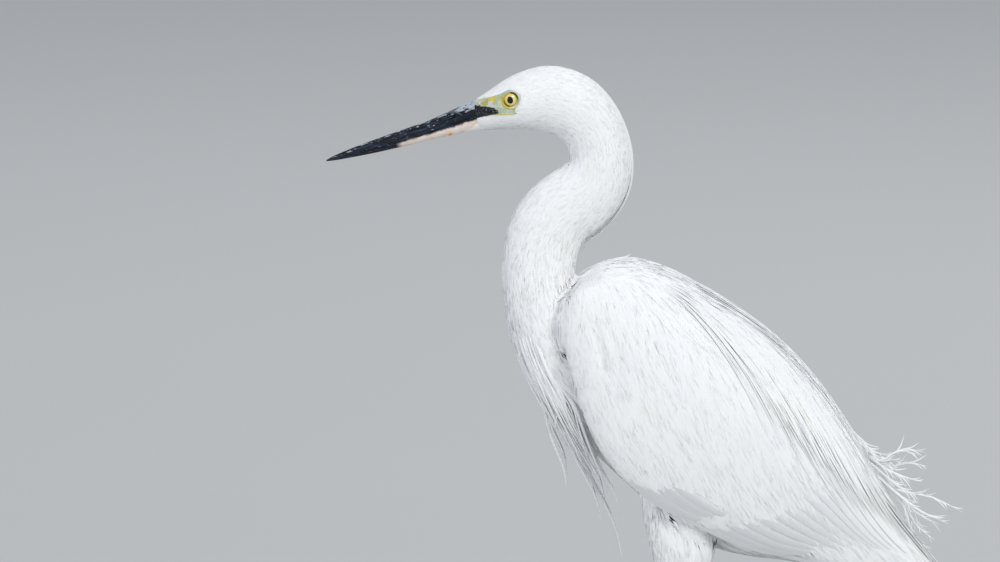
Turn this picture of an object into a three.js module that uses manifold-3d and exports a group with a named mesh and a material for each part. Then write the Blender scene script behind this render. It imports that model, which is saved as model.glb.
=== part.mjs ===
// A little egret standing on both feet with its neck drawn into an S, as a life-size still model.
// Millimetres, +Z up. The bird faces -X and its left side is towards -Y.
import * as THREE from "three";
import { mergeVertices } from "three/addons/utils/BufferGeometryUtils.js";
import Module from "manifold-3d";

const wasm = await Module();
wasm.setup();

// Driving dimensions
const GAP = 0.3; // between pieces that touch
const MERGED = 2e-3; // corners of a finished piece that are closer than this are one
const BILL_LENGTH = 82.6; // along the line of the mouth, from the feathers of the face to the tip
const BILL_SLOPE = THREE.MathUtils.degToRad(17.3); // of the bill below the level
const EYE = { x: -99.2, y: 7.8, z: 443.3, radius: 5.2 };
const LID = { radius: 4.9, thickness: 0.75 };
const BODY_SLOPE = THREE.MathUtils.degToRad(37); // of the back and the folded wings, below the level
const WRIST = { x: -72.3, z: 328 }; // the bend of the folded wing, where the body's own lengths start
const WING_LENGTH = 287; // from the wrist to the tip of the longest primary
const LEG_SPREAD = 19; // half the distance between the legs
const SHIN_TOP = { x: -8, z: 160 };
const ANKLE = { x: 5.5, z: 104 };
const FOOT_Z = 7.5; // height of the joint that carries the toes
const STEP = 11; // how far each foot stands before or behind the middle of the two
const FOOT_X = -6; // the middle of the two feet, under the bird's weight

// The head and neck, from the root of the bill over the nape and down the S to the breast:
// x and z of the middle line, half depth and half width
const NECK_STATIONS = [
  [-118.5, 433.2, 8.1, 5.9],
  [-110, 435.6, 10.2, 8.8],
  [-104.3, 437.5, 12, 10.8],
  [-92, 441.1, 15.5, 12.9],
  [-79, 442.2, 17.9, 13.6],
  [-66.5, 438.3, 17.7, 13.4],
  [-58.3, 430.1, 16.8, 13.2],
  [-53.6, 420.3, 16.4, 13],
  [-52.2, 409.5, 16.8, 13],
  [-55.1, 399, 18.1, 13.2],
  [-63, 390.1, 19.5, 13.6],
  [-73, 383.1, 19.5, 13.8],
  [-80.4, 373.2, 20, 14],
  [-84, 360, 19.8, 14.6],
  [-84.6, 344, 19.6, 16.2],
  [-81, 324.5, 20.4, 19.5],
  [-72.5, 307, 21.6, 23],
  [-57.5, 291, 25, 25],
];
const HEAD_END = 5.5; // stations where the head and the two upper lengths of the neck end
const UPPER_NECK_END = 9.5;
const MIDDLE_NECK_END = 13.5;
const NECK_END = NECK_STATIONS.length - 1;

// The trunk along the body's slope: distance from the wrist, reach above and below that line, half width
const TRUNK_STATIONS = [
  [2, 20, 0, 12],
  [6, 31, -14, 20],
  [14.7, 43, -27, 26],
  [33, 50.5, -41, 31],
  [52, 53.5, -47.5, 34],
  [71, 55.3, -50, 35],
  [90, 56, -52, 34.5],
  [108, 54.5, -50.5, 33],
  [130, 50, -45.5, 29.5],
  [153, 43, -39.5, 25],
  [171, 35.5, -32.5, 20.5],
  [187, 27.5, -26, 16],
  [203, 17, -19.5, 10.5],
  [212, 9, -14.5, 6],
];

// The folded wing along the same line: distance, upper and lower edge, half width of the bird there,
// and how far the upper and the lower edge stay from the middle
const WING_STATIONS = [
  [-6, 21, 14, 27.5, 24, 24],
  [-3, 28, 6.5, 29.5, 23, 24],
  [0, 33, 0.5, 31, 22, 25],
  [5, 38.5, -7, 34, 20, 26],
  [14.7, 46.5, -16.2, 38, 17, 27],
  [33, 52, -30.6, 42, 15, 28],
  [52, 55, -41.6, 44.5, 13, 28.5],
  [71, 56.5, -47.8, 45.5, 12, 28.5],
  [90, 57, -49, 45, 11, 28.5],
  [108, 55.5, -47.6, 43.5, 10, 28],
  [128, 51.5, -43.4, 40.5, 9, 26.5],
  [153, 44, -35.7, 35.5, 7.5, 24.5],
  [171, 37, -28, 30.5, 6, 22.5],
  [187, 30, -22.5, 26.5, 5, 20.5],
  [203, 23.5, -18, 22.5, 4.5, 18],
  [234, 14.2, -10.5, 15.5, 3.5, 13],
  [262, 7.5, -5, 10, 2.5, 8.5],
  [WING_LENGTH, 1.2, -0.8, 5, 3, 4],
];

// The back between the upper edges of the wings: distance, height of the ridge, half width
const BACK_STATIONS = [
  [3, 38.5, 9],
  [8, 44, 14],
  [14.7, 48.5, 18],
  [33, 54.4, 18.8],
  [52, 57, 17.6],
  [71, 58.4, 16.8],
  [90, 58.8, 15.9],
  [108, 57.2, 14.8],
  [130, 52.6, 13.4],
  [153, 45, 11.4],
  [171, 37.5, 9.4],
  [187, 30.5, 8],
  [203, 24, 6.8],
  [220, 17.5, 4.6],
  [236, 12, 2],
  [290, 0, 2],
];
const MANTLE_END = 150; // where the mantle's own plate ends, and only its plumes reach on
// Its long plumes: roots from `first` to `last` down the back, tips `reach` on, out to `spread` from the middle;
// the last few curl off the back
const BACK_PLUMES = { count: 13, first: 62, last: 118, reach: [80, 110], spread: 15, half: 3.2, ridge: 1.1 };
const LOOSE_PLUMES = { count: 5, tip: [204, 236], curl: [25, 9] };

// The closed tail: a short stump under the rump and five feathers on each side of the middle
const TAIL = { pairs: 5, root: 196, tip: 292, height: -11.4, spread: [1.5, 2.5], drop: 0.55, half: 5.6, ridge: 1 };
const TAIL_STUMP_STATIONS = [
  [188, -9, 5, 9],
  [200, -11.6, 3.2, 10.5],
  [212, -12.6, 1.9, 11],
  [220, -13, 0.9, 9.5],
];

// A leg above the heel: x and z of the middle line, half depth, half width and distance from the middle plane
const THIGH_STATIONS = [
  [-11, 262, 23, 11, 18],
  [-9.3, 236, 21.7, 11.5, 18],
  [-8.6, 206, 16.8, 10.5, 18.5],
  [-9, 183, 10.4, 7.8, 19],
  [-8, 160, 4.6, 4.4, LEG_SPREAD],
  [-6.4, 154, 4.2, 4.1, LEG_SPREAD],
];
const SHIN_STATIONS = [
  [0, 3.4, 3.1],
  [0.6, 3.1, 2.9],
  [0.85, 3.7, 3.5],
  [1, 4.9, 4.2],
];
const SHANK_STATIONS = [
  [0, 4.6, 4],
  [0.1, 3.9, 3.4],
  [0.25, 3, 2.5],
  [0.8, 2.8, 2.4],
  [0.93, 3.4, 3.2],
  [1, 4.2, 4],
];

// Each toe: direction from straight ahead, outwards positive, length without the claw, number of joints, claw
const TOES = {
  inner: { turn: -22, aside: -3.4, length: 44, joints: 2, claw: 9 },
  middle: { turn: 4, aside: 0, length: 56, joints: 3, claw: 10 },
  outer: { turn: 32, aside: 3.4, length: 50, joints: 4, claw: 8.5 },
  hind: { turn: 172, aside: -1.5, length: 29, joints: 1, claw: 12 },
};
const TOE_RADIUS = { root: 2.7, end: 1.9, pad: 0.4 };
const KNUCKLE = { deep: 4.3, wide: 5.8, high: 4.6 };

// The plumes of the lower breast, which hang clear of the belly: where they leave the neck, and x, z and distance
// from the middle of each one's tip
const BREAST_PLUMES = { root: [-80, 318], foot: [-85.5, 299], spread: 1.35, half: 2.8, ridge: 1.1 };
const BREAST_PLUME_TIPS = [
  [-69.7, 235.4, -5],
  [-66, 240, 6.5],
  [-59, 226, -1.5],
  [-60, 231, -9],
  [-56, 222, 3],
  [-57, 229, 10],
  [-51.4, 216.9, -4],
  [-49, 213, 6],
  [-40.3, 197.9, -1],
  [-47, 208, -7.5],
  [-44, 205, 2.5],
];

// The two plumes of the nape: station of the neck, distance from its back, half width
const NAPE_PLUME_STATIONS = [
  [3.8, -1.6, 1.8],
  [4.6, 0.2, 2],
  [5.2, 1.9, 2.1],
  [8, 2, 2.1],
  [10, 2.1, 1.8],
  [11.4, 2.4, 1.3],
  [12.6, 3.4, 0.4],
];

// The tiers of the folded wing's feathers. f runs from the uppermost feather, 0, to the lowest, 1; root and tip are
// distances from the wrist, share is the place between the lower edge, -1, and the upper edge, 1, and lift is the
// height over the wing's outer form.
const WING_TIERS = {
  coverts: {
    count: 6, root: [50, 44], tip: [128, 108], rootShare: [0.74, -0.72], tipShare: [0.7, -0.76],
    lift: [-2.2, -0.3], half: 9, tilt: 5, ridge: 1.2,
  },
  secondaries: {
    count: 7, root: [88, 78], tip: [214, 176], rootShare: [0.72, -0.76], tipShare: [0.5, -0.8],
    lift: [-3.4, -0.5], half: 8.8, tilt: 7, ridge: 1.1,
  },
  primaries: {
    count: 6, root: [140, 120], tip: [WING_LENGTH, 214], rootShare: [0.3, -0.78], tipShare: [0.25, -0.74],
    lift: [-4.6, -0.9], half: 5.4, tilt: 8, ridge: 1,
  },
};
// How far the wing's flesh and small feathers stay inside its outer form, by distance, out to where only the
// long feathers reach on
const WING_CORE_END = 170;
const wingCoreDepth = [
  [-6, 0],
  [44, 0],
  [58, 1],
  [110, 1.7],
  [130, 2.6],
  [WING_CORE_END, 3],
];

const materials = {
  feather: new THREE.MeshStandardMaterial({ color: 0xf2f1ec, roughness: 0.85 }),
  plume: new THREE.MeshStandardMaterial({ color: 0xfaf9f4, roughness: 0.75 }),
  horn: new THREE.MeshStandardMaterial({ color: 0x1d222b, roughness: 0.35 }),
  jaw: new THREE.MeshStandardMaterial({ color: 0xd9b7a6, roughness: 0.45 }),
  bareSkin: new THREE.MeshStandardMaterial({ color: 0xb9bf62, roughness: 0.6 }),
  eye: new THREE.MeshStandardMaterial({ color: 0xe3c62c, roughness: 0.08 }),
  leg: new THREE.MeshStandardMaterial({ color: 0x1b1b1c, roughness: 0.55 }),
  toe: new THREE.MeshStandardMaterial({ color: 0xb7b02f, roughness: 0.6 }),
  claw: new THREE.MeshStandardMaterial({ color: 0x16130f, roughness: 0.35 }),
};

const egret = new THREE.Group();
const ACROSS = new THREE.Vector3(0, 1, 0);
const SIDES = { left: -1, right: 1 };

/** Reads rows of [place, value, value, ...] as smooth curves of the place. */
function smoothly(rows) {
  const slope = (i, k) => {
    const before = rows[Math.max(i - 1, 0)];
    const after = rows[Math.min(i + 1, rows.length - 1)];
    return (after[k] - before[k]) / (after[0] - before[0]);
  };
  return (place) => {
    const at = THREE.MathUtils.clamp(place, rows[0][0], rows.at(-1)[0]);
    const i = Math.max(rows.findIndex((row) => row[0] >= at), 1);
    const [low, high] = [rows[i - 1], rows[i]];
    const span = high[0] - low[0];
    const f = (at - low[0]) / span;
    const [f2, f3] = [f * f, f * f * f];
    return low.slice(1).map((value, n) => {
      const k = n + 1;
      return (
        value * (2 * f3 - 3 * f2 + 1) +
        high[k] * (3 * f2 - 2 * f3) +
        slope(i - 1, k) * span * (f3 - 2 * f2 + f) +
        slope(i, k) * span * (f3 - f2)
      );
    });
  };
}

/** A closed geometry as a solid that can be cut and joined. */
function solid(geometry, tolerance = 1e-4) {
  geometry.deleteAttribute("normal");
  geometry.deleteAttribute("uv");
  const merged = mergeVertices(geometry, tolerance);
  const corners = merged.index.array;
  const kept = [];
  for (let i = 0; i < corners.length; i += 3) {
    const [a, b, c] = corners.slice(i, i + 3);
    if (a !== b && b !== c && c !== a) kept.push(a, b, c);
  }
  return new wasm.Manifold(
    new wasm.Mesh({
      numProp: 3,
      vertProperties: new Float32Array(merged.attributes.position.array),
      triVerts: new Uint32Array(kept),
    }),
  );
}

/** The largest closed surface of a solid, without hollows or loose scraps. */
function largest(made) {
  return made.decompose().reduce((best, one) => (one.volume() > best.volume() ? one : best));
}

/** The faces of a solid as a geometry. */
function faces(made) {
  const mesh = made.getMesh();
  const geometry = new THREE.BufferGeometry();
  geometry.setAttribute("position", new THREE.BufferAttribute(mesh.vertProperties, mesh.numProp));
  return geometry.setIndex(new THREE.BufferAttribute(mesh.triVerts, 1));
}

/** Adds a solid to the bird as a named piece, with corners closer than MERGED made one. */
function addPiece(name, made, material) {
  const geometry = faces(largest(solid(faces(largest(made)), MERGED)));
  geometry.computeVertexNormals();
  const piece = new THREE.Mesh(geometry, material);
  piece.name = name;
  egret.add(piece);
}

/**
 * A closed body along a curve. section(u) gives its reach above and below the curve and its half width;
 * above is the side that a person walking the curve with `across` on the left has overhead.
 */
function sweep(curve, section, { from = 0, to = 1, steps = 12, sides = 12, across = ACROSS } = {}) {
  const geometry = new THREE.CylinderGeometry(1, 1, 1, sides, steps);
  const place = geometry.attributes.position;
  for (let i = 0; i < place.count; i++) {
    const u = from + (to - from) * (0.5 - place.getY(i));
    const [above, below, wide] = section(u);
    const tangent = curve.getTangent(u);
    const over = tangent.clone().cross(across).normalize();
    const level = over.clone().cross(tangent).normalize();
    const rise = place.getZ(i) * (place.getZ(i) > 0 ? above : below);
    const point = curve.getPoint(u).addScaledVector(over, rise);
    point.addScaledVector(level, place.getX(i) * wide);
    place.setXYZ(i, point.x, point.y, point.z);
  }
  return solid(geometry);
}

/** A point of the body's own frame: along its slope from the wrist, above that line, and to the side. */
function onBody(along, above, side = 0) {
  const [c, s] = [Math.cos(BODY_SLOPE), Math.sin(BODY_SLOPE)];
  return new THREE.Vector3(
    WRIST.x + along * c + above * s,
    side,
    WRIST.z - along * s + above * c,
  );
}

/** A closed skin through rings of points, all with the same count, from one end to the other. */
function loft(rings) {
  const [rows, columns] = [rings.length - 1, rings[0].length];
  const geometry = new THREE.CylinderGeometry(1, 1, 1, columns, rows);
  const place = geometry.attributes.position;
  for (let i = 0; i < place.count; i++) {
    const ring = rings[Math.round((0.5 - place.getY(i)) * rows)];
    const radius = Math.hypot(place.getX(i), place.getZ(i));
    const turn = Math.atan2(place.getX(i), place.getZ(i)) / (2 * Math.PI);
    const spot = ring[(Math.round(turn * columns) + columns) % columns];
    const middle = ring.reduce((sum, p) => sum.add(p), new THREE.Vector3()).divideScalar(columns);
    const point = radius > 0.5 ? spot : middle;
    place.setXYZ(i, point.x, point.y, point.z);
  }
  return solid(geometry);
}

/**
 * A feather: a closed blade with sharp edges and a ridge along both faces. Each place is { point, up, half, ridge }:
 * a spot of its middle line, the way its outer face looks, half its width and the thickness at the ridge.
 * Both faces are split into triangles alike.
 */
function vane(places, tilt = 0) {
  const lean = THREE.MathUtils.degToRad(tilt);
  const corners = [];
  places.forEach(({ point, up, half, ridge }, i) => {
    const along = new THREE.Vector3().subVectors(
      places[Math.min(i + 1, places.length - 1)].point,
      places[Math.max(i - 1, 0)].point,
    );
    const side = along.clone().cross(up).normalize();
    const over = side.clone().cross(along).normalize();
    side.applyAxisAngle(along.clone().normalize(), -lean);
    over.applyAxisAngle(along.normalize(), -lean);
    for (const [acrossward, upward] of [[half, 0], [0, ridge / 2], [-half, 0], [0, -ridge / 2]]) {
      corners.push(...point.clone().addScaledVector(side, acrossward).addScaledVector(over, upward).toArray());
    }
  });
  const triangles = [0, 1, 3, 3, 1, 2];
  for (let i = 0; i < places.length - 1; i++) {
    const [edge, top, other, under] = [4 * i, 4 * i + 1, 4 * i + 2, 4 * i + 3];
    triangles.push(edge, top + 4, top, edge, edge + 4, top + 4, other, top, top + 4, other, top + 4, other + 4);
    triangles.push(other, under + 4, under, other, other + 4, under + 4, edge, under, under + 4, edge, under + 4, edge + 4);
  }
  const last = 4 * (places.length - 1);
  triangles.push(last, last + 3, last + 1, last + 1, last + 3, last + 2);
  const geometry = new THREE.BufferGeometry();
  geometry.setAttribute("position", new THREE.Float32BufferAttribute(corners, 3));
  geometry.setIndex(triangles);
  return solid(geometry);
}

// A feather's width along its length, from a narrow root to a round tip or to a fine point
const roundTip = smoothly([
  [0, 0.5],
  [0.25, 0.9],
  [0.5, 1],
  [0.78, 0.98],
  [0.92, 0.72],
  [1, 0.14],
]);
const finePoint = smoothly([
  [0, 0.8],
  [0.3, 1],
  [0.65, 0.72],
  [1, 0.1],
]);

/** The solid mirrored to the bird's other side. */
const mirrored = (made) => made.mirror([0, 1, 0]);

// Head and neck
const neckLine = new THREE.CatmullRomCurve3(NECK_STATIONS.map(([x, z]) => new THREE.Vector3(x, 0, z)));
const neckSize = smoothly(NECK_STATIONS.map(([, , deep, wide], i) => [i, deep, wide]));

/** A length of the head and neck between two stations, made larger all round by `grow`. */
function neckLength(first, last, steps, grow = 0) {
  const section = (u) => {
    const [deep, wide] = neckSize(u * NECK_END);
    return [deep + grow, deep + grow, wide + grow];
  };
  const ends = { from: first / NECK_END, to: last / NECK_END };
  return sweep(neckLine, section, { ...ends, steps, sides: 16 });
}

/** A spot of the neck at a station: turned from the back of the neck to its left, and lifted off the skin. */
function onNeck(station, turn, lift = 0) {
  const u = station / NECK_END;
  const [deep, wide] = neckSize(station);
  const back = neckLine.getTangent(u).cross(ACROSS).normalize();
  const spot = neckLine.getPoint(u).addScaledVector(back, (deep + lift) * Math.cos(turn));
  return spot.addScaledVector(ACROSS, -(wide + lift) * Math.sin(turn));
}

/** The share of a station that the gap between two lengths takes up there. */
function gapAt(station) {
  const before = neckLine.getPoint((station - 0.5) / NECK_END);
  const after = neckLine.getPoint((station + 0.5) / NECK_END);
  return GAP / before.distanceTo(after);
}

/** An outline in x and z, as a prism from the middle plane out past the bird's left side. */
function sidePrism(outline, outwards = 0) {
  const middle = outline.reduce((sum, [x, z]) => [sum[0] + x / outline.length, sum[1] + z / outline.length], [0, 0]);
  const grown = outline.map(([x, z]) => {
    const away = new THREE.Vector2(x - middle[0], z - middle[1]);
    away.setLength(away.length() + outwards);
    return new THREE.Vector2(middle[0] + away.x, middle[1] + away.y);
  });
  const geometry = new THREE.ExtrudeGeometry(new THREE.Shape(grown), { depth: 40, bevelEnabled: false });
  geometry.rotateX(Math.PI / 2);
  return solid(geometry);
}

const ball = (radius, x, y, z, detail = 14) =>
  solid(new THREE.SphereGeometry(radius, detail, detail / 2).translate(x, y, z));

// The bill along the line of the mouth: distance from the root as a share of the length,
// height of the upper and the lower half, half width
const BILL_STATIONS = [
  [0, 7.9, 8.4, 5.9],
  [0.1, 6.8, 7, 5.5],
  [0.3, 5.3, 4.9, 4.5],
  [0.5, 4.6, 3.7, 3.6],
  [0.7, 3.4, 2.6, 2.7],
  [0.85, 2.1, 1.6, 1.8],
  [0.95, 1.1, 0.85, 1],
  [1, 0.35, 0.3, 0.35],
];
const BILL_ROOT = { x: -116.8, z: 434.2 };
const BILL_TIP = {
  x: BILL_ROOT.x - BILL_LENGTH * Math.cos(BILL_SLOPE),
  z: BILL_ROOT.z - BILL_LENGTH * Math.sin(BILL_SLOPE),
};
const BILL_SAG = 1.1; // how far the line of the mouth lies below the straight line in the middle
const mouthLine = new THREE.QuadraticBezierCurve3(
  new THREE.Vector3(BILL_ROOT.x, 0, BILL_ROOT.z),
  new THREE.Vector3((BILL_ROOT.x + BILL_TIP.x) / 2, 0, (BILL_ROOT.z + BILL_TIP.z) / 2 - 2 * BILL_SAG),
  new THREE.Vector3(BILL_TIP.x, 0, BILL_TIP.z),
);

// The bare skin from the bill to behind the eye, as an outline in x and z
const BARE_SKIN = [
  [-116.2, 441.8],
  [-108.5, 443.6],
  [-104.8, 446],
  [-100.5, 449],
  [-96, 448.6],
  [-92.6, 446],
  [-93.6, 441.5],
  [-96.6, 436.8],
  [-108, 434.6],
  [-117.4, 435.2],
];
const SKIN_DEPTH = 1.1;

/** One of the two long plumes of the nape, which lie down the back of the neck. */
function napePlume(side) {
  const size = smoothly(NAPE_PLUME_STATIONS);
  const [first, last] = [NAPE_PLUME_STATIONS[0][0], NAPE_PLUME_STATIONS.at(-1)[0]];
  const steps = 13;
  const end = last - (side > 0 ? 0.7 : 0);
  const places = Array.from({ length: steps + 1 }, (_, i) => {
    const station = THREE.MathUtils.lerp(first, end, i / steps);
    const [lift, half] = size(last - (end - station));
    const point = onNeck(station, side * 0.14, lift);
    return { point, up: onNeck(station, 0, lift + 1).sub(onNeck(station, 0, lift)), half, ridge: 0.9 };
  });
  return vane(places);
}

function makeHead() {
  const whole = neckLength(0, HEAD_END, 13);
  const under = neckLength(0, HEAD_END + 0.2, 13, -SKIN_DEPTH);
  const deeper = neckLength(0, HEAD_END + 0.2, 13, -SKIN_DEPTH - GAP);
  const socket = ball(EYE.radius + GAP, EYE.x, -EYE.y, EYE.z);
  const lid = solid(
    new THREE.TorusGeometry(LID.radius, LID.thickness, 4, 15)
      .rotateX(Math.PI / 2)
      .scale(1, 1, 0.92)
      .translate(EYE.x, -EYE.y - 3.1, EYE.z),
  );
  const skin = sidePrism(BARE_SKIN).intersect(whole).subtract(under).add(lid.subtract(deeper));
  const recess = sidePrism(BARE_SKIN, GAP).subtract(deeper);
  const lidRoom = solid(
    new THREE.TorusGeometry(LID.radius, LID.thickness + GAP, 4, 15)
      .rotateX(Math.PI / 2)
      .scale(1, 1, 0.92)
      .translate(EYE.x, -EYE.y - 3.1, EYE.z),
  );
  const hollow = recess.add(socket).add(lidRoom);
  const front = mouthLine.getTangent(0).negate();
  const head = whole
    .trimByPlane([front.x, 0, front.z], front.dot(mouthLine.getPoint(0)))
    .add(napePlume(-1))
    .add(napePlume(1))
    .subtract(hollow)
    .subtract(mirrored(hollow));
  addPiece("head", head, materials.feather);
  const eye = ball(EYE.radius, EYE.x, -EYE.y, EYE.z);
  const bare = skin.subtract(socket);
  addPiece("face_left", bare, materials.bareSkin);
  addPiece("face_right", mirrored(bare), materials.bareSkin);
  addPiece("eye_left", eye, materials.eye);
  addPiece("eye_right", mirrored(eye), materials.eye);
}

function makeBill() {
  const size = smoothly(BILL_STATIONS);
  const options = { steps: 12, sides: 12, from: GAP / mouthLine.getLength() };
  // Walking from the root to the tip, overhead is below the bill
  const upper = (u) => [-GAP / 2, size(u)[0], size(u)[2]];
  const lower = (u) => [size(u)[1], -GAP / 2, size(u)[2] * 0.97];
  const nostril = (side) =>
    solid(new THREE.SphereGeometry(1, 10, 6).scale(4.6, 1, 0.62).rotateY(-0.3).translate(-127.5, side * 5.2, 433.8));
  const top = sweep(mouthLine, upper, options).subtract(nostril(-1)).subtract(nostril(1));
  addPiece("bill_upper", top, materials.horn);
  addPiece("bill_lower", sweep(mouthLine, lower, options), materials.jaw);
}

// Trunk, wings and tail
const trunkSize = smoothly(TRUNK_STATIONS);
const wingSize = smoothly(WING_STATIONS);

/** The trunk, made larger all round by `grow`. */
function trunk(grow = 0) {
  const sides = 20;
  const rings = [];
  const places = [2, 4, 6, 10, 14.7, 23, 33, 43, 52, 62, 71, 81, 90, 108, 130, 153, 171, 187, 203, 212];
  for (const along of places) {
    const [up, down, wide] = trunkSize(along);
    const [middle, deep] = [(up + down) / 2, (up - down) / 2];
    const end = along === 2 ? -grow : along === 212 ? grow : 0;
    const ring = [];
    for (let k = 0; k < sides; k++) {
      const turn = (2 * Math.PI * k) / sides;
      const [rise, side] = [Math.cos(turn) * (deep + grow), Math.sin(turn) * (wide + grow)];
      ring.push(onBody(along + end, middle + rise, side));
    }
    rings.push(ring);
  }
  return loft(rings);
}

/** The wing's skin on the left side: the spot at a distance, from the lower edge -1 to the upper edge 1. */
function onWing(along, share, lift = 0) {
  const [upper, lower, wide, upperEdge, lowerEdge] = wingSize(along);
  const turn = (share * Math.PI * 80) / 180;
  const edge = share > 0 ? upperEdge : lowerEdge;
  const middle = (upper + lower) / 2;
  const deep = (upper - lower) / 2;
  const above = middle + (deep * Math.sin(turn)) / Math.sin((Math.PI * 80) / 180);
  const side = edge + (wide - edge) * Math.cos(turn);
  const slant = new THREE.Vector2((wide - edge) * Math.sin(turn), deep * Math.cos(turn));
  slant.normalize().multiplyScalar(lift);
  return onBody(along, above + slant.x * 1, -(side + slant.y));
}

/** How thick the folded wing is at a distance from the wrist. */
const wingThickness = smoothly([
  [-6, 4],
  [0, 9],
  [20, 16],
  [70, 16],
  [130, 12],
  [165, 7],
  [190, 4],
  [234, 2.4],
  [262, 1.8],
  [WING_LENGTH, 1],
]);

/** The left wing's outer form, made larger all round by `grow`. */
function wingForm(grow = 0) {
  return wingSolid(WING_STATIONS.map(([along]) => along), () => 0, grow);
}

/** The left wing between the given distances, with its outer face `depth(distance)` inside the outer form. */
function wingSolid(distances, depth, grow = 0) {
  const across = 7;
  const rings = distances.map((along, i) => {
    const end = i === 0 ? -grow : i === distances.length - 1 ? grow : 0;
    const [, , wide, upperEdge, lowerEdge] = wingSize(along);
    const spot = (k, lift) => {
      const share = 1 - (2 * k) / across;
      const edge = share > 0 ? upperEdge : lowerEdge;
      const rim = Math.abs(share) === 1 ? 1 + (0.73 * grow) / (wide - edge) : 1;
      return onWing(along, share * rim, lift).add(onBody(end, 0)).sub(onBody(0, 0));
    };
    const inner = (share) => -Math.max(wingThickness(along)[0] * (1 - 0.72 * share * share), depth(along) + 0.6);
    const ring = [];
    for (let k = 0; k <= across; k++) ring.push(spot(k, inner(1 - (2 * k) / across) - grow));
    for (let k = across; k >= 0; k--) ring.push(spot(k, grow - depth(along)));
    return ring;
  });
  return loft(rings);
}

/** A repeatable draw of numbers from -1 to 1. */
function draws(seed) {
  let state = seed;
  return () => {
    state = (state * 48271) % 2147483647;
    return (2 * state) / 2147483647 - 1;
  };
}

/** One tier of the left wing's feathers. */
function wingTier({ count, root, tip, rootShare, tipShare, lift, half, tilt, ridge }, seed) {
  const draw = draws(seed);
  const blend = ([from, to], f) => THREE.MathUtils.lerp(from, to, f);
  const steps = [0, 0.45, 0.87, 1];
  return Array.from({ length: count }, (_, k) => {
    const f = k / (count - 1);
    const [start, end] = [blend(root, f), blend(tip, f) + 1.5 * draw()];
    const [shareStart, shareEnd] = [blend(rootShare, f), blend(tipShare, f) + 0.015 * draw()];
    const places = steps.map((u) => {
      const along = blend([start, end], u);
      const share = blend([shareStart, shareEnd], u);
      const rise = blend(lift, THREE.MathUtils.smoothstep(u, 0, 0.75));
      const point = onWing(along, share, rise);
      const up = onWing(along, share, rise + 1).sub(point);
      return { point, up, half: half * roundTip(u)[0], ridge: ridge * (u < 1 ? 1 : 0.4) };
    });
    return vane(places, tilt);
  });
}

/** The folded left wing: its flesh and small feathers, and the tiers of its long ones. */
function makeWing() {
  const depth = smoothly(wingCoreDepth);
  const distances = WING_STATIONS.map(([along]) => along).filter((along) => along < WING_CORE_END);
  const core = wingSolid([...distances, WING_CORE_END], (along) => depth(along)[0]);
  const feathers = Object.values(WING_TIERS).flatMap((tier, i) => wingTier(tier, 31 + i));
  const whole = feathers.reduce((sum, one) => sum.add(one), core);
  return whole.subtract(trunk(GAP)).subtract(neckLength(12, NECK_END, 14, GAP));
}

const backSize = smoothly(BACK_STATIONS);

/** A spot over the back and the tops of both wings, `lift` above whichever of them is the higher there. */
function onBack(along, side, lift = 0) {
  const [ridge, wide] = backSize(along);
  const away = Math.abs(side);
  const share = away / wide;
  const back = share <= 1 ? ridge - 0.11 * wide * share * share : 0;
  const [upper, lower, half, edge] = wingSize(along);
  const [middle, deep] = [(upper + lower) / 2, (upper - lower) / 2];
  const turn = Math.acos(THREE.MathUtils.clamp((away - edge) / (half - edge), 0.17, 1));
  const wing = away >= edge ? middle + (deep * Math.sin(turn)) / 0.985 : 0;
  return onBody(along, Math.max(back, wing) + lift, side);
}

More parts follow.
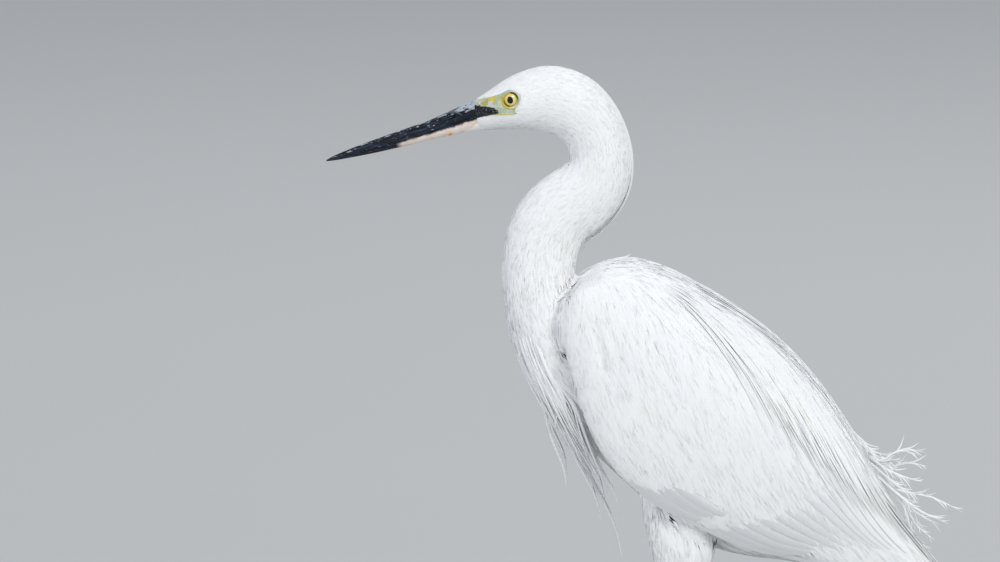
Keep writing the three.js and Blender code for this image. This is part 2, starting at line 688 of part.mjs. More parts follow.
/** The plate of feathers along the back, and the long plumes that grow from it over the wings. */
function makeMantle() {
  const across = 6;
  const distances = BACK_STATIONS.map(([along]) => along).filter((along) => along < MANTLE_END);
  const rings = [...distances, MANTLE_END].map((along) => {
    const [ridge, whole] = backSize(along);
    const wide = Math.min(whole, -onWing(along, 1).y - 1.5 * GAP);
    const depth = THREE.MathUtils.lerp(12, 2, THREE.MathUtils.smoothstep(along, 110, MANTLE_END));
    const sink = THREE.MathUtils.lerp(0, 1.6, THREE.MathUtils.smoothstep(along, 40, MANTLE_END));
    const spot = (k, drop) => {
      const share = (2 * k) / across - 1;
      return onBody(along, ridge - sink - 0.11 * wide * share * share - drop, share * wide);
    };
    const ring = [];
    for (let k = 0; k <= across; k++) ring.push(spot(k, 0));
    for (let k = across; k >= 0; k--) ring.push(spot(k, depth));
    return ring;
  });
  const wing = wingForm(GAP);
  const draw = draws(77);
  const { count, first, last, reach, spread, half, ridge } = BACK_PLUMES;
  const plumes = Array.from({ length: count }, (_, k) => {
    const f = k / (count - 1);
    const side = (k % 2 ? 1 : -1) * (0.12 + 0.88 * ((k * 5) % count) / count);
    const root = THREE.MathUtils.lerp(first, last, f);
    const rank = (k + LOOSE_PLUMES.count - count) / (LOOSE_PLUMES.count - 1);
    const lying = root + THREE.MathUtils.lerp(...reach, (draw() + 1) / 2) - 8 * Math.abs(side);
    const end = rank >= 0 ? THREE.MathUtils.lerp(...LOOSE_PLUMES.tip, rank) : lying;
    const curl = rank >= 0 ? THREE.MathUtils.lerp(...LOOSE_PLUMES.curl, rank) : 0;
    const sway = 2 * draw();
    const places = [0, 0.2, 0.5, 0.8, 1].map((u) => {
      const along = THREE.MathUtils.lerp(root, end, u);
      const inner = backSize(root)[1] * 0.62 * side;
      const narrow = THREE.MathUtils.clamp((along - 150) / 120, 0, 1);
      const outer = spread * (1 - 0.72 * narrow) * side + sway * u;
      const away = THREE.MathUtils.lerp(inner, outer, u);
      const lift = u === 0 ? -3 : 0.7 + 1.5 * u + curl * u ** 4;
      const point = onBack(along, away, lift);
      const slope = onBack(along, away + 1, lift).z - onBack(along, away - 1, lift).z;
      const up = onBody(0, 1, -THREE.MathUtils.clamp(slope / 2, -0.8, 0.8)).sub(onBody(0, 0));
      return { point, up, half: half * finePoint(u)[0], ridge: ridge * (1 - 0.55 * u) };
    });
    return vane(places);
  });
  const whole = plumes.reduce((sum, one) => sum.add(one), loft(rings));
  const clear = whole.subtract(trunk(GAP)).subtract(neckLength(12, NECK_END, 14, GAP));
  return clear.subtract(wing).subtract(mirrored(wing));
}

/** The closed tail: a stump under the rump and the feathers that grow from it, the middle ones on top. */
function makeTail() {
  const size = smoothly(TAIL_STUMP_STATIONS);
  const sides = 10;
  const rings = TAIL_STUMP_STATIONS.map(([along]) => {
    const [middle, thick, wide] = size(along);
    return Array.from({ length: sides }, (_, k) => {
      const turn = (2 * Math.PI * k) / sides;
      return onBody(along, middle + thick * Math.cos(turn), wide * Math.sin(turn));
    });
  });
  const { pairs, root, tip, height, spread, drop, half, ridge } = TAIL;
  let whole = loft(rings);
  for (let k = -pairs + 0.5; k < pairs; k++) {
    const rank = Math.abs(k) - 0.5 + (k > 0 ? 0.35 : 0);
    const places = [0, 0.5, 0.88, 1].map((u) => ({
      point: onBody(
        THREE.MathUtils.lerp(root, tip - 1.5 * rank, u),
        height - drop * rank - 1.4 * Math.sin(Math.PI * u) - 0.12 * k * k * u,
        k * THREE.MathUtils.lerp(spread[0], spread[1], u),
      ),
      up: onBody(0, 1, 0.1 * k).sub(onBody(0, 0)),
      half: half * roundTip(u)[0],
      ridge,
    }));
    whole = whole.add(vane(places));
  }
  return whole.subtract(trunk(GAP));
}

/** The plumes of the lower breast, each from the foot of the neck to its own tip. */
function breastPlumes() {
  const { root, foot, spread, half, ridge } = BREAST_PLUMES;
  return BREAST_PLUME_TIPS.map(([x, z, side], k) => {
    const set = 0.25 * k;
    const line = new THREE.CatmullRomCurve3([
      new THREE.Vector3(root[0] + set, spread * side * 0.9, root[1]),
      new THREE.Vector3(foot[0] + set, spread * side, foot[1]),
      new THREE.Vector3((foot[0] + x) / 2 + (k < 2 ? 1 : 2.4) + set, spread * side, (foot[1] + z) / 2),
      new THREE.Vector3(x - (x - foot[0]) * 0.13, 1.1 * side, z + (foot[1] - z) * 0.2),
      new THREE.Vector3(x, side, z),
    ]);
    const places = [0, 0.2, 0.42, 0.66, 0.86, 1].map((u) => {
      const front = ACROSS.clone().cross(line.getTangent(u)).setY(0.03 * side);
      return { point: line.getPoint(u), up: front, half: half * finePoint(u)[0], ridge: ridge * (1 - 0.5 * u) };
    });
    return vane(places);
  });
}

/** A round limb between two points, with [share of the length, half depth, half width] rows as its sizes. */
function limb(start, end, rows, options = {}) {
  const size = smoothly(rows);
  const line = new THREE.LineCurve3(start, end);
  return sweep(line, (u) => [size(u)[0], size(u)[0], size(u)[1]], { steps: 7, sides: 8, ...options });
}

/** The knuckle at the foot of the shank, which carries the toes side by side. */
function knuckle(foot, grow = 0) {
  const size = [KNUCKLE.deep, KNUCKLE.wide, KNUCKLE.high].map((radius) => radius + grow);
  return solid(new THREE.SphereGeometry(1, 12, 7).scale(...size).translate(foot.x, foot.y, foot.z));
}

/** One toe along the floor, with a pad under each joint, and its claw. */
function toe({ turn, aside, length, joints, claw }, side, foot) {
  const heading = THREE.MathUtils.degToRad(180 - side * turn);
  const ahead = new THREE.Vector3(Math.cos(heading), Math.sin(heading), 0);
  const across = new THREE.Vector3(-ahead.y, ahead.x, 0);
  const root = foot.clone().add(new THREE.Vector3(0, side * aside, 0));
  const at = (reach, z) => root.clone().setZ(z).addScaledVector(ahead, reach);
  const low = TOE_RADIUS.end - 0.15;
  const line = new THREE.CatmullRomCurve3([
    at(0, FOOT_Z - 1),
    at(9, 3.6),
    at(length * 0.45, low + 0.35),
    at(length * 0.8, low),
    at(length + 1, low),
  ]);
  const section = (u) => {
    const bulge = TOE_RADIUS.pad * Math.cos(2 * Math.PI * u * (joints + 0.5)) * Math.min(1, 4 * (1 - u));
    const radius = THREE.MathUtils.lerp(TOE_RADIUS.root, TOE_RADIUS.end, u) + bulge;
    return [radius, radius, radius * 0.95];
  };
  const digit = sweep(line, section, { steps: 3 + 2 * joints, sides: 6, across })
    .subtract(knuckle(foot, GAP))
    .trimByPlane([0, 0, 1], 0)
    .trimByPlane([-ahead.x, -ahead.y, 0], -ahead.dot(at(length, 0)));
  const nail = new THREE.QuadraticBezierCurve3(
    at(length - 1, low - 0.3),
    at(length + claw * 0.55, low + 1.3),
    at(length + claw, 0.5),
  );
  const taper = (u) => [1.5 - 1.25 * u, 1.5 - 1.25 * u, 1.25 - u];
  const horn = sweep(nail, taper, { steps: 3, sides: 5, across })
    .trimByPlane([0, 0, 1], 0)
    .trimByPlane([ahead.x, ahead.y, 0], ahead.dot(at(length + GAP, 0)));
  return { digit, horn };
}

function makeLeg(name, stride) {
  const side = SIDES[name];
  const line = new THREE.CatmullRomCurve3(THIGH_STATIONS.map(([x, z, , , y]) => new THREE.Vector3(x, side * y, z)));
  const size = smoothly(THIGH_STATIONS.map(([, , deep, wide], i) => [i / (THIGH_STATIONS.length - 1), deep, wide]));
  const kept = name === "left" ? wingForm(GAP) : mirrored(wingForm(GAP));
  const top = new THREE.Vector3(SHIN_TOP.x, side * LEG_SPREAD, SHIN_TOP.z);
  const heel = new THREE.Vector3(ANKLE.x, side * LEG_SPREAD, ANKLE.z);
  const foot = new THREE.Vector3(FOOT_X + stride, side * (LEG_SPREAD + 2), FOOT_Z);
  const down = new THREE.Vector3().subVectors(heel, top).normalize();
  const thigh = sweep(line, (u) => [size(u)[0], size(u)[0], size(u)[1]], { steps: 9, sides: 14 })
    .trimByPlane([-down.x, -down.y, -down.z], -down.dot(top));
  addPiece("thigh_" + name, thigh.subtract(trunk(GAP)).subtract(kept), materials.feather);

  addPiece("shin_" + name, limb(top.clone().addScaledVector(down, GAP), heel, SHIN_STATIONS), materials.leg);
  const drop = new THREE.Vector3().subVectors(foot, heel).normalize();
  const shankTop = heel.clone().addScaledVector(drop, 0.6);
  const shank = limb(shankTop, foot, SHANK_STATIONS, { steps: 10 }).add(knuckle(foot));
  const shin = limb(top, heel.clone().addScaledVector(down, GAP), SHIN_STATIONS.map(([u, a, b]) => [u, a + GAP, b + GAP]));
  addPiece("shank_" + name, shank.subtract(shin), materials.leg);
  for (const [toeName, facts] of Object.entries(TOES)) {
    const { digit, horn } = toe(facts, side, foot);
    addPiece(`toe_${toeName}_${name}`, digit, materials.toe);
    addPiece(`claw_${toeName}_${name}`, horn, materials.claw);
  }
}

makeHead();
makeBill();
addPiece("neck_upper", neckLength(HEAD_END + gapAt(HEAD_END), UPPER_NECK_END, 12), materials.feather);
addPiece("neck_middle", neckLength(UPPER_NECK_END + gapAt(UPPER_NECK_END), MIDDLE_NECK_END, 12), materials.feather);
const lowerNeck = neckLength(MIDDLE_NECK_END + gapAt(MIDDLE_NECK_END), NECK_END, 12);
const plumed = breastPlumes().reduce((sum, one) => sum.add(one), lowerNeck);
addPiece("neck_lower", plumed.subtract(trunk(GAP)), materials.feather);
addPiece("torso", trunk(), materials.feather);
addPiece("mantle", makeMantle(), materials.plume);
addPiece("tail", makeTail(), materials.feather);
const leftWing = makeWing();
addPiece("wing_left", leftWing, materials.feather);
addPiece("wing_right", mirrored(leftWing), materials.feather);
makeLeg("left", STEP);
makeLeg("right", -STEP);

// The origin is on the floor, below the middle of the whole bird
const reach = new THREE.Box3().setFromObject(egret, true);
egret.position.set(-(reach.min.x + reach.max.x) / 2, 0, -reach.min.z);

export default egret;
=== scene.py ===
"""A little egret as a still, life-size model: its skin, plumage, bill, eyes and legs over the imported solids.

The bird's own sizes are in millimetres, facing -X with its left towards -Y, and are moved into the frame.
"""
import logging
import math
from dataclasses import dataclass, field
from enum import Enum
from typing import Optional, Sequence

import bmesh
import bpy
import numpy as np
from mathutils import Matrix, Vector, noise
from mathutils.bvhtree import BVHTree


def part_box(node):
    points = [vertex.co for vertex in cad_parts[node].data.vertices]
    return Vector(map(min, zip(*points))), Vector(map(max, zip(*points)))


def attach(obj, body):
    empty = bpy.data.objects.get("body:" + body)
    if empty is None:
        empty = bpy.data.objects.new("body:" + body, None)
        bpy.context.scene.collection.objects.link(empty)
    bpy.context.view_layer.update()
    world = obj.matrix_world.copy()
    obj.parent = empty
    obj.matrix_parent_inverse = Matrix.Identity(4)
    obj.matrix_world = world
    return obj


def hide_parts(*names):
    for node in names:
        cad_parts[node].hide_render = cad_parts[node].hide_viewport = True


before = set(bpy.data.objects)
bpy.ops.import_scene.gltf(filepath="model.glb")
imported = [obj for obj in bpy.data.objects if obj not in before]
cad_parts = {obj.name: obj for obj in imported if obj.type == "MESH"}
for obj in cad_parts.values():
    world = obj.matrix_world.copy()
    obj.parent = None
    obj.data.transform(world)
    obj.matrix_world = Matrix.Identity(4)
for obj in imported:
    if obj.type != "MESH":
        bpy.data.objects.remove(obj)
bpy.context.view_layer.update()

Array = np.ndarray
Rows = Sequence[Sequence[float]]
Colour = tuple[float, float, float]
Shape = bmesh.types.BMesh
Material = bpy.types.Material
Socket = bpy.types.NodeSocket
Random = np.random.Generator
log = logging.getLogger("egret")

MM = 0.001
BODY = "root"
BODY_SLOPE = math.radians(37)
WRIST = (-72.3, 328.0)
EYE_CENTRE = (-99.2, 7.8, 443.3)
SIDEWAYS = np.array((0, 1, 0))
PATCH = 0.003
MAP_EDGES = (0.004, 0.996)
PIECE_TRIANGLES = 190_000


class Side(Enum):
    """The two sides of the bird, as the sign of Y."""

    LEFT = -1
    RIGHT = 1

    @property
    def label(self) -> str:
        """The side's word in the nodes' names."""
        return self.name.lower()

    @property
    def from_left(self) -> Array:
        """What brings a place on the left of the bird to this side."""
        return np.array((1, -self.value, 1))

    @property
    def from_right(self) -> Array:
        """What brings a place on the right of the bird to this side."""
        return np.array((1, self.value, 1))


class Tract(Enum):
    """The tracts of small feathers, each a piece of the coat."""

    FACE = "face"
    NECK = "neck"
    BREAST = "breast"
    BACK = "back"
    WING_LEFT = "wing_left"
    WING_RIGHT = "wing_right"
    BELLY = "belly"
    THIGHS = "thighs"

    @property
    def number(self) -> int:
        """The tract's place in the list."""
        return list(Tract).index(self)


def frame_shift() -> float:
    """How far the frame lies from the bird's own sizes along X, in metres, by the place of the left eye."""
    low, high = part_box("eye_left")
    return (low.x + high.x) / 2 - EYE_CENTRE[0] * MM


SHIFT = frame_shift()


def real(points: Array) -> Array:
    """Places of the bird's own millimetres, one in each row, as places of the frame in metres."""
    return np.asarray(points, float) * MM + np.array((SHIFT, 0.0, 0.0))


def unit(vectors: Array) -> Array:
    """Vectors along the last axis, made one long."""
    return vectors / np.maximum(np.linalg.norm(vectors, axis=-1, keepdims=True), 1e-9)


def lerp(low: Array, high: Array, share: Array) -> Array:
    """The value that lies at a share of the way between two others."""
    return low + (high - low) * share


def drawn(rng: Random, low: float, high: float, count: int) -> Array:
    """A column of values drawn evenly between two others."""
    return lerp(low, high, rng.random((count, 1)))


def circle(count: int) -> Array:
    """Even turns once round."""
    return np.linspace(0, 2 * math.pi, count, endpoint=False)


def evened(*values: Array) -> Sequence[Array]:
    """Numbers and arrays brought to one shape."""
    return np.broadcast_arrays(*(np.asarray(value, float) for value in values))


def downhill(angle: float) -> Array:
    """The direction back and down at an angle in degrees."""
    return np.array((math.cos(math.radians(angle)), 0, -math.sin(math.radians(angle))))


def hump(value: Array, middle: float, width: float) -> Array:
    """Rises from 0 to 1 at the middle and falls again."""
    return np.exp(-(((value - middle) / width) ** 2))


def body_share(along: Array) -> Array:
    """Where a distance down the body lies on its flat layout, from 0 to 1."""
    return (along + 10) / 310


def smoothstep(value: Array, low: float, high: float) -> Array:
    """Rises softly from 0 at low to 1 at high."""
    f = np.clip((np.asarray(value, float) - low) / (high - low), 0, 1)
    return f * f * (3 - 2 * f)


class Profile:
    """Rows of (place, value, value, ...) read as smooth curves of the place."""

    def __init__(self, rows: Rows) -> None:
        """Keeps the rows and the slope of each curve at each of them.

        Args:
            rows: The place first, then the values there.
        """
        table = np.array(rows, float)
        self.places, self.values = table[:, 0], table[:, 1:]
        before = np.maximum(np.arange(len(table)) - 1, 0)
        after = np.minimum(np.arange(len(table)) + 1, len(table) - 1)
        span = (self.places[after] - self.places[before])[:, None]
        self.slopes = (self.values[after] - self.values[before]) / span

    def __call__(self, place: Array) -> Array:
        """The values at places.

        Args:
            place: One place or an array of them.

        Returns:
            An array with one more axis, which holds the values.
        """
        at = np.clip(np.asarray(place, float), self.places[0], self.places[-1])
        i = np.clip(np.searchsorted(self.places, at), 1, len(self.places) - 1)
        span = (self.places[i] - self.places[i - 1])[..., None]
        f = (at[..., None] - self.places[i - 1][..., None]) / span
        f2, f3 = f * f, f * f * f
        return (
            self.values[i - 1] * (2 * f3 - 3 * f2 + 1)
            + self.values[i] * (3 * f2 - 2 * f3)
            + self.slopes[i - 1] * span * (f3 - 2 * f2 + f)
            + self.slopes[i] * span * (f3 - f2)
        )


class Line:
    """A smooth line through points, with steps that follow the distances between them."""

    def __init__(self, points: Array) -> None:
        """Keeps the points and one more beyond each end.

        Args:
            points: At least three places in millimetres.
        """
        inner = np.array(points, float)
        first, last = 2 * inner[0] - inner[1], 2 * inner[-1] - inner[-2]
        self.points = np.vstack([first, inner, last])
        self.count = len(inner) - 1

    def at(self, share: Array) -> Array:
        """Places along the line.

        Args:
            share: From 0 at the first point to 1 at the last.

        Returns:
            The places, one row for each share.
        """
        place = np.clip(np.atleast_1d(np.asarray(share, float)), 0, 1) * self.count
        i = np.minimum(place.astype(int), self.count - 1)
        f = (place - i)[:, None]
        p0, p1, p2, p3 = (self.points[i + k] for k in range(4))
        d0, d1, d2 = (
            np.maximum(np.linalg.norm(b - a, axis=1, keepdims=True) ** 0.5, 1e-4)
            for a, b in ((p0, p1), (p1, p2), (p2, p3))
        )
        t1 = ((p1 - p0) / d0 - (p2 - p0) / (d0 + d1) + (p2 - p1) / d1) * d1
        t2 = ((p2 - p1) / d1 - (p3 - p1) / (d1 + d2) + (p3 - p2) / d2) * d1
        return p1 + t1 * f + (3 * (p2 - p1) - 2 * t1 - t2) * f**2 + (2 * (p1 - p2) + t1 + t2) * f**3

    def heading(self, share: Array) -> Array:
        """The directions of the line at shares of its length.

        Args:
            share: From 0 to 1.

        Returns:
            Directions one long, one row for each share.
        """
        share = np.atleast_1d(np.asarray(share, float))
        step = 1e-3
        return unit(self.at(np.minimum(share + step, 1)) - self.at(np.maximum(share - step, 0)))


def on_body(along: Array, above: Array, side: Array = 0.0) -> Array:
    """Places of the body's own frame: along its slope from the wrist, above that line, and to the side.

    Args:
        along: Distance down the slope, in millimetres.
        above: Height over the line.
        side: Distance to the right of the middle.

    Returns:
        The places, with X, Y and Z along the last axis.
    """
    along, above, side = evened(along, above, side)
    c, s = math.cos(BODY_SLOPE), math.sin(BODY_SLOPE)
    return np.stack([WRIST[0] + along * c + above * s, side, WRIST[1] - along * s + above * c], axis=-1)


def to_body(points: Array) -> tuple[Array, Array]:
    """The distance down the body's slope and the height over it of places.

    Args:
        points: Places in millimetres.

    Returns:
        The two distances.
    """
    c, s = math.cos(BODY_SLOPE), math.sin(BODY_SLOPE)
    dx, dz = points[..., 0] - WRIST[0], points[..., 2] - WRIST[1]
    return dx * c - dz * s, dx * s + dz * c


class Builder:
    """Turns shapes into finished pieces of the model."""

    @staticmethod
    def finish(obj: bpy.types.Object, material: Material, slot: str, nodes: Sequence[str]) -> None:
        """Dresses a piece and lets it ride on the body.

        Args:
            obj: The piece, in its place.
            material: Its finish.
            slot: Not used.
            nodes: The solids that it stands for.
        """
        obj.data.materials.clear()
        obj.data.materials.append(material)
        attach(obj, BODY)
        if nodes:
            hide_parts(*nodes)
        log.info("%s: %d faces", obj.name, len(obj.data.polygons))

    @classmethod
    def piece(cls, name: str, bm: Shape, material: Material, slot: str, nodes: Sequence[str] = ()) -> None:
        """Makes a piece of a shape in millimetres.

        Args:
            name: The piece's name.
            bm: The shape, which is used up.
            material: Its finish.
            slot: Handed on to Builder.finish.
            nodes: The solids that it stands for.
        """
        for vert in bm.verts:
            vert.co = Vector((vert.co.x * MM + SHIFT, vert.co.y * MM, vert.co.z * MM))
        mesh = meshed(name, bm)
        mesh.shade_smooth()
        cls.finish(placed(name, mesh), material, slot, nodes)


def meshed(name: str, bm: Shape) -> bpy.types.Mesh:
    """Makes a mesh of a shape, which is used up.

    Args:
        name: The mesh's name.
        bm: The shape.

    Returns:
        The mesh.
    """
    mesh = bpy.data.meshes.new(name)
    bm.to_mesh(mesh)
    bm.free()
    return mesh


def placed(name: str, data: bpy.types.ID) -> bpy.types.Object:
    """Puts a mesh, lamp or camera in the scene.

    Args:
        name: The new object's name.
        data: What it shows.

    Returns:
        The object.
    """
    obj = bpy.data.objects.new(name, data)
    bpy.context.scene.collection.objects.link(obj)
    return obj


def bent(places: Array, looped: bool = False) -> Shape:
    """Bends a flat grid to places.

    Args:
        places: Rows of columns of places, in millimetres.
        looped: Whether the last column runs on into the first.

    Returns:
        The shape.
    """
    rows, columns = places.shape[:2]
    across, down = columns if looped else columns - 1, rows - 1
    bm = bmesh.new()
    bmesh.ops.create_grid(bm, x_segments=across, y_segments=down, size=0.5)
    for vert in bm.verts:
        column, row = round((vert.co.x + 0.5) * across), round((vert.co.y + 0.5) * down)
        vert.co = Vector(places[row, column % columns])
    return bm


def shell(rings: Array, closed: bool = True) -> Shape:
    """Bends a grid into a skin through rings of places, and closes both ends.

    Args:
        rings: Rows of rings of places, in millimetres.
        closed: Whether the ends are closed over.

    Returns:
        The shape, with its normals outwards.
    """
    if closed:
        first, last = (np.repeat(rings[i].mean(0)[None], rings.shape[1], 0)[None] for i in (0, -1))
        rings = np.concatenate([first, rings, last])
    bm = bent(rings, looped=True)
    bmesh.ops.remove_doubles(bm, verts=bm.verts, dist=1e-4)
    bmesh.ops.recalc_face_normals(bm, faces=bm.faces)
    return bm


def ball(place: Array, size: Sequence[float], radius: float = 1.0, faces: Sequence[int] = (28, 18)) -> Shape:
    """A ball, stretched along the axes.

    Args:
        place: Its middle, in millimetres.
        size: How far it is stretched each way.
        radius: Its radius before that.
        faces: How many faces it has round, and from top to bottom.

    Returns:
        The shape.
    """
    bm = bmesh.new()
    bmesh.ops.create_uvsphere(bm, u_segments=faces[0], v_segments=faces[1], radius=radius)
    bmesh.ops.scale(bm, vec=size, verts=bm.verts)
    bmesh.ops.translate(bm, vec=Vector(place), verts=bm.verts)
    return bm


def smoothed(bm: Shape, rounds: int) -> None:
    """Evens out a shape's corners."""
    axes = {f"use_axis_{axis}": True for axis in "xyz"}
    for _ in range(rounds):
        bmesh.ops.smooth_vert(bm, verts=bm.verts, factor=0.5, **axes)


def join(parts: Sequence[Shape]) -> Shape:
    """Puts shapes together in one.

    Args:
        parts: Shapes, which are used up.

    Returns:
        One shape with all their faces.
    """
    whole = bmesh.new()
    for part in parts:
        mesh = meshed("part", part)
        whole.from_mesh(mesh)
        bpy.data.meshes.remove(mesh)
    return whole


def remeshed(bm: Shape, voxel: float) -> Shape:
    """Fuses overlapping closed shapes into one even skin.

    Args:
        bm: The shapes, in millimetres, which are used up.
        voxel: The size of the new faces, in millimetres.

    Returns:
        The fused shape.
    """
    mesh = meshed("fused", bm)
    obj = placed("fused", mesh)
    modifier = obj.modifiers.new("fuse", "REMESH")
    modifier.mode = "VOXEL"
    modifier.voxel_size = voxel
    made = bpy.data.meshes.new_from_object(obj.evaluated_get(bpy.context.evaluated_depsgraph_get()))
    bpy.data.objects.remove(obj)
    bpy.data.meshes.remove(mesh)
    result = bmesh.new()
    result.from_mesh(made)
    bpy.data.meshes.remove(made)
    return result


class Surface:
    """A principled finish whose inputs are worked out by nodes."""

    def __init__(self, name: str, **constants: float) -> None:
        """Starts a material.

        Args:
            name: The material's name.
            constants: Socket names, with _ for a space, and the values that are the same all over.
        """
        self.material = bpy.data.materials.new(name)
        self.material.use_nodes = True
        self.tree = self.material.node_tree
        self.tree.nodes.clear()
        self.shader = self.tree.nodes.new("ShaderNodeBsdfPrincipled")
        output = self.tree.nodes.new("ShaderNodeOutputMaterial")
        self.tree.links.new(self.shader.outputs[0], output.inputs["Surface"])
        for key, value in constants.items():
            self.shader.inputs[key.replace("_", " ")].default_value = value

    def node(self, kind: str, settings: Optional[dict] = None, **inputs: object) -> bpy.types.Node:
        """Adds a node.

        Args:
            kind: Its type, without ShaderNode.
            settings: Properties of the node itself.
            inputs: Its sockets by name, with _ for a space, or by iN for the N-th: values or outputs.

        Returns:
            The node.
        """
        made = self.tree.nodes.new("ShaderNode" + kind)
        for key, value in (settings or {}).items():
            setattr(made, key, value)
        for key, value in inputs.items():
            number = key[1:] if key[0] == "i" and key[1:].isdigit() else None
            self.set(made.inputs[int(number)] if number else made.inputs[key.replace("_", " ")], value)
        return made

    def set(self, socket: Socket, value: object) -> None:
        """Gives a socket a value or another's output."""
        if isinstance(value, Socket):
            self.tree.links.new(value, socket)
        else:
            socket.default_value = value

    def place(self, centre: Sequence[float] = (0, 0, 0), turn: Sequence[float] = (0, 0, 0)) -> Socket:
        """Object coordinates in metres, from a place given in the bird's own millimetres.

        Args:
            centre: The place that becomes the origin.
            turn: Rotation of the pattern about it.

        Returns:
            The coordinates.
        """
        spot = real(np.array(centre, float)) if any(centre) else np.zeros(3)
        moved = self.vector("SUBTRACT", self.node("TexCoord").outputs["Object"], tuple(spot))
        return self.node("Mapping", {"vector_type": "TEXTURE"}, Vector=moved, Rotation=turn).outputs[0]

    def attribute(self, name: str) -> Socket:
        """A value that the piece's own corners carry."""
        return self.node("Attribute", {"attribute_name": name}).outputs["Fac"]

    def vane(self) -> Sequence[Socket]:
        """Places on a feather's own map: across its shaft and along it, in millimetres."""
        return self.parts(self.node("UVMap", {"uv_map": "Vane"}).outputs[0])

    def noise(self, where: Socket, scale: float, detail: float = 3.0, rough: float = 0.55) -> Socket:
        """Cloudy noise from 0 to 1, with a scale in waves a metre."""
        made = self.node("TexNoise", None, Vector=where, Scale=scale, Detail=detail, Roughness=rough)
        return made.outputs["Fac"]

    def cells(self, where: Socket, scale: float) -> Socket:
        """The distance to the edges of small cells."""
        made = self.node("TexVoronoi", {"feature": "DISTANCE_TO_EDGE"}, Vector=where, Scale=scale)
        return made.outputs["Distance"]

    def vector(self, operation: str, first: Socket, second: Sequence[float]) -> Socket:
        """One step of arithmetic on coordinates, whose outcome is a place."""
        return self.node("VectorMath", {"operation": operation}, i0=first, i1=second).outputs[0]

    def stretched(self, where: Socket, scale: Sequence[float]) -> Socket:
        """Coordinates with each axis scaled on its own."""
        return self.vector("MULTIPLY", where, scale)

    def parts(self, where: Socket) -> Sequence[Socket]:
        """The three coordinates of a place."""
        return self.node("SeparateXYZ", None, Vector=where).outputs

    def length(self, where: Socket) -> Socket:
        """The distance from the origin."""
        return self.node("VectorMath", {"operation": "LENGTH"}, i0=where).outputs["Value"]

    def distance(self, where: Socket, spot: Sequence[float]) -> Socket:
        """The distance from a spot."""
        return self.node("VectorMath", {"operation": "DISTANCE"}, i0=where, i1=spot).outputs["Value"]

    def math(self, operation: str, first: object, second: object = 0.0) -> Socket:
        """One step of arithmetic on patterns."""
        return self.node("Math", {"operation": operation}, i0=first, i1=second).outputs[0]

    def times(self, first: object, second: object) -> Socket:
        """Two patterns multiplied."""
        return self.math("MULTIPLY", first, second)

    def plus(self, first: object, second: object) -> Socket:
        """Two patterns added."""
        return self.math("ADD", first, second)

    def minus(self, first: object, second: object) -> Socket:
        """The second pattern taken from the first."""
        return self.math("SUBTRACT", first, second)

    def ramp(self, value: Socket, low: float, high: float, top: Optional[float] = None) -> Socket:
        """Rises softly from 0 at low to 1, or to the top value, at high."""
        settings = {"interpolation_type": "SMOOTHSTEP"}
        risen = self.node("MapRange", settings, Value=value, From_Min=low, From_Max=high).outputs["Result"]
        return risen if top is None else self.times(risen, top)

    def mix(self, share: object, first: object, second: object) -> Socket:
        """A colour between two others."""
        made = self.node("Mix", {"data_type": "RGBA", "clamp_factor": True})
        for index, value in ((0, share), (6, first), (7, second)):
            self.set(made.inputs[index], (*value, 1.0) if isinstance(value, tuple) else value)
        return made.outputs[2]

    def paint(self, colour: Socket) -> None:
        """Sets the base colour's pattern."""
        self.tree.links.new(colour, self.shader.inputs["Base Color"])

    def roughen(self, value: Socket, low: float, high: float) -> None:
        """Sets the roughness between two values by a pattern from 0 to 1."""
        made = self.node("MapRange", None, Value=value, To_Min=low, To_Max=high)
        self.tree.links.new(made.outputs["Result"], self.shader.inputs["Roughness"])

    def bump(self, height: Socket, distance: float, strength: float = 1.0) -> None:
        """Lets a pattern from 0 to 1 raise the surface by a distance in metres."""
        made = self.node("Bump", None, Height=height, Distance=distance, Strength=strength)
        self.tree.links.new(made.outputs["Normal"], self.shader.inputs["Normal"])


@dataclass(frozen=True)
class Plumage:
    """Soft white feathers: fine barbs along each, a shade of its own, and a faint cream or blue cast."""

    name: str = "white_feathers"
    white: Colour = (0.9, 0.9, 0.89)
    cool: Colour = (0.82, 0.84, 0.87)
    # root: a greyer white towards each feather's base, painted shade where the feathers overlap
    root: Colour = (0.82, 0.83, 0.84)
    cream: Colour = (0.88, 0.85, 0.75)
    creamed: float = 0.03
    roughness: float = 0.65
    barb_shift: float = 311.0

    def material(self) -> Material:
        """Builds the finish from the tone, reach and map that each feather carries.

        Returns:
            The material.
        """
        s = Surface(self.name, Roughness=self.roughness, Specular_IOR_Level=0.0)
        tone, reach = s.attribute("tone"), s.attribute("reach")
        where = s.place()
        across, along = s.vane()[:2]
        shifted = s.plus(across, s.times(tone, self.barb_shift))
        barb = s.node("CombineXYZ", None, X=shifted, Y=s.times(along, 0.12)).outputs[0]
        line = s.noise(barb, 2.6, 2, 0.7)
        shade = s.plus(s.ramp(s.noise(where, 45, 2), 0.35, 0.75, 0.3), s.times(tone, 0.15))
        body = s.mix(s.plus(shade, s.ramp(line, 0.5, 0.75, 0.22)), self.white, self.cool)
        creamy = s.times(s.ramp(tone, 1 - self.creamed, 1.0), s.ramp(s.noise(where, 22, 1), 0.42, 0.6))
        body = s.mix(creamy, body, self.cream)
        # painted shade: greyer towards each feather's root, under the feathers that lie over it
        s.paint(s.mix(s.ramp(reach, 0.0, 0.5), self.root, body))
        s.bump(line, 0.00012, 0.6)
        return s.material


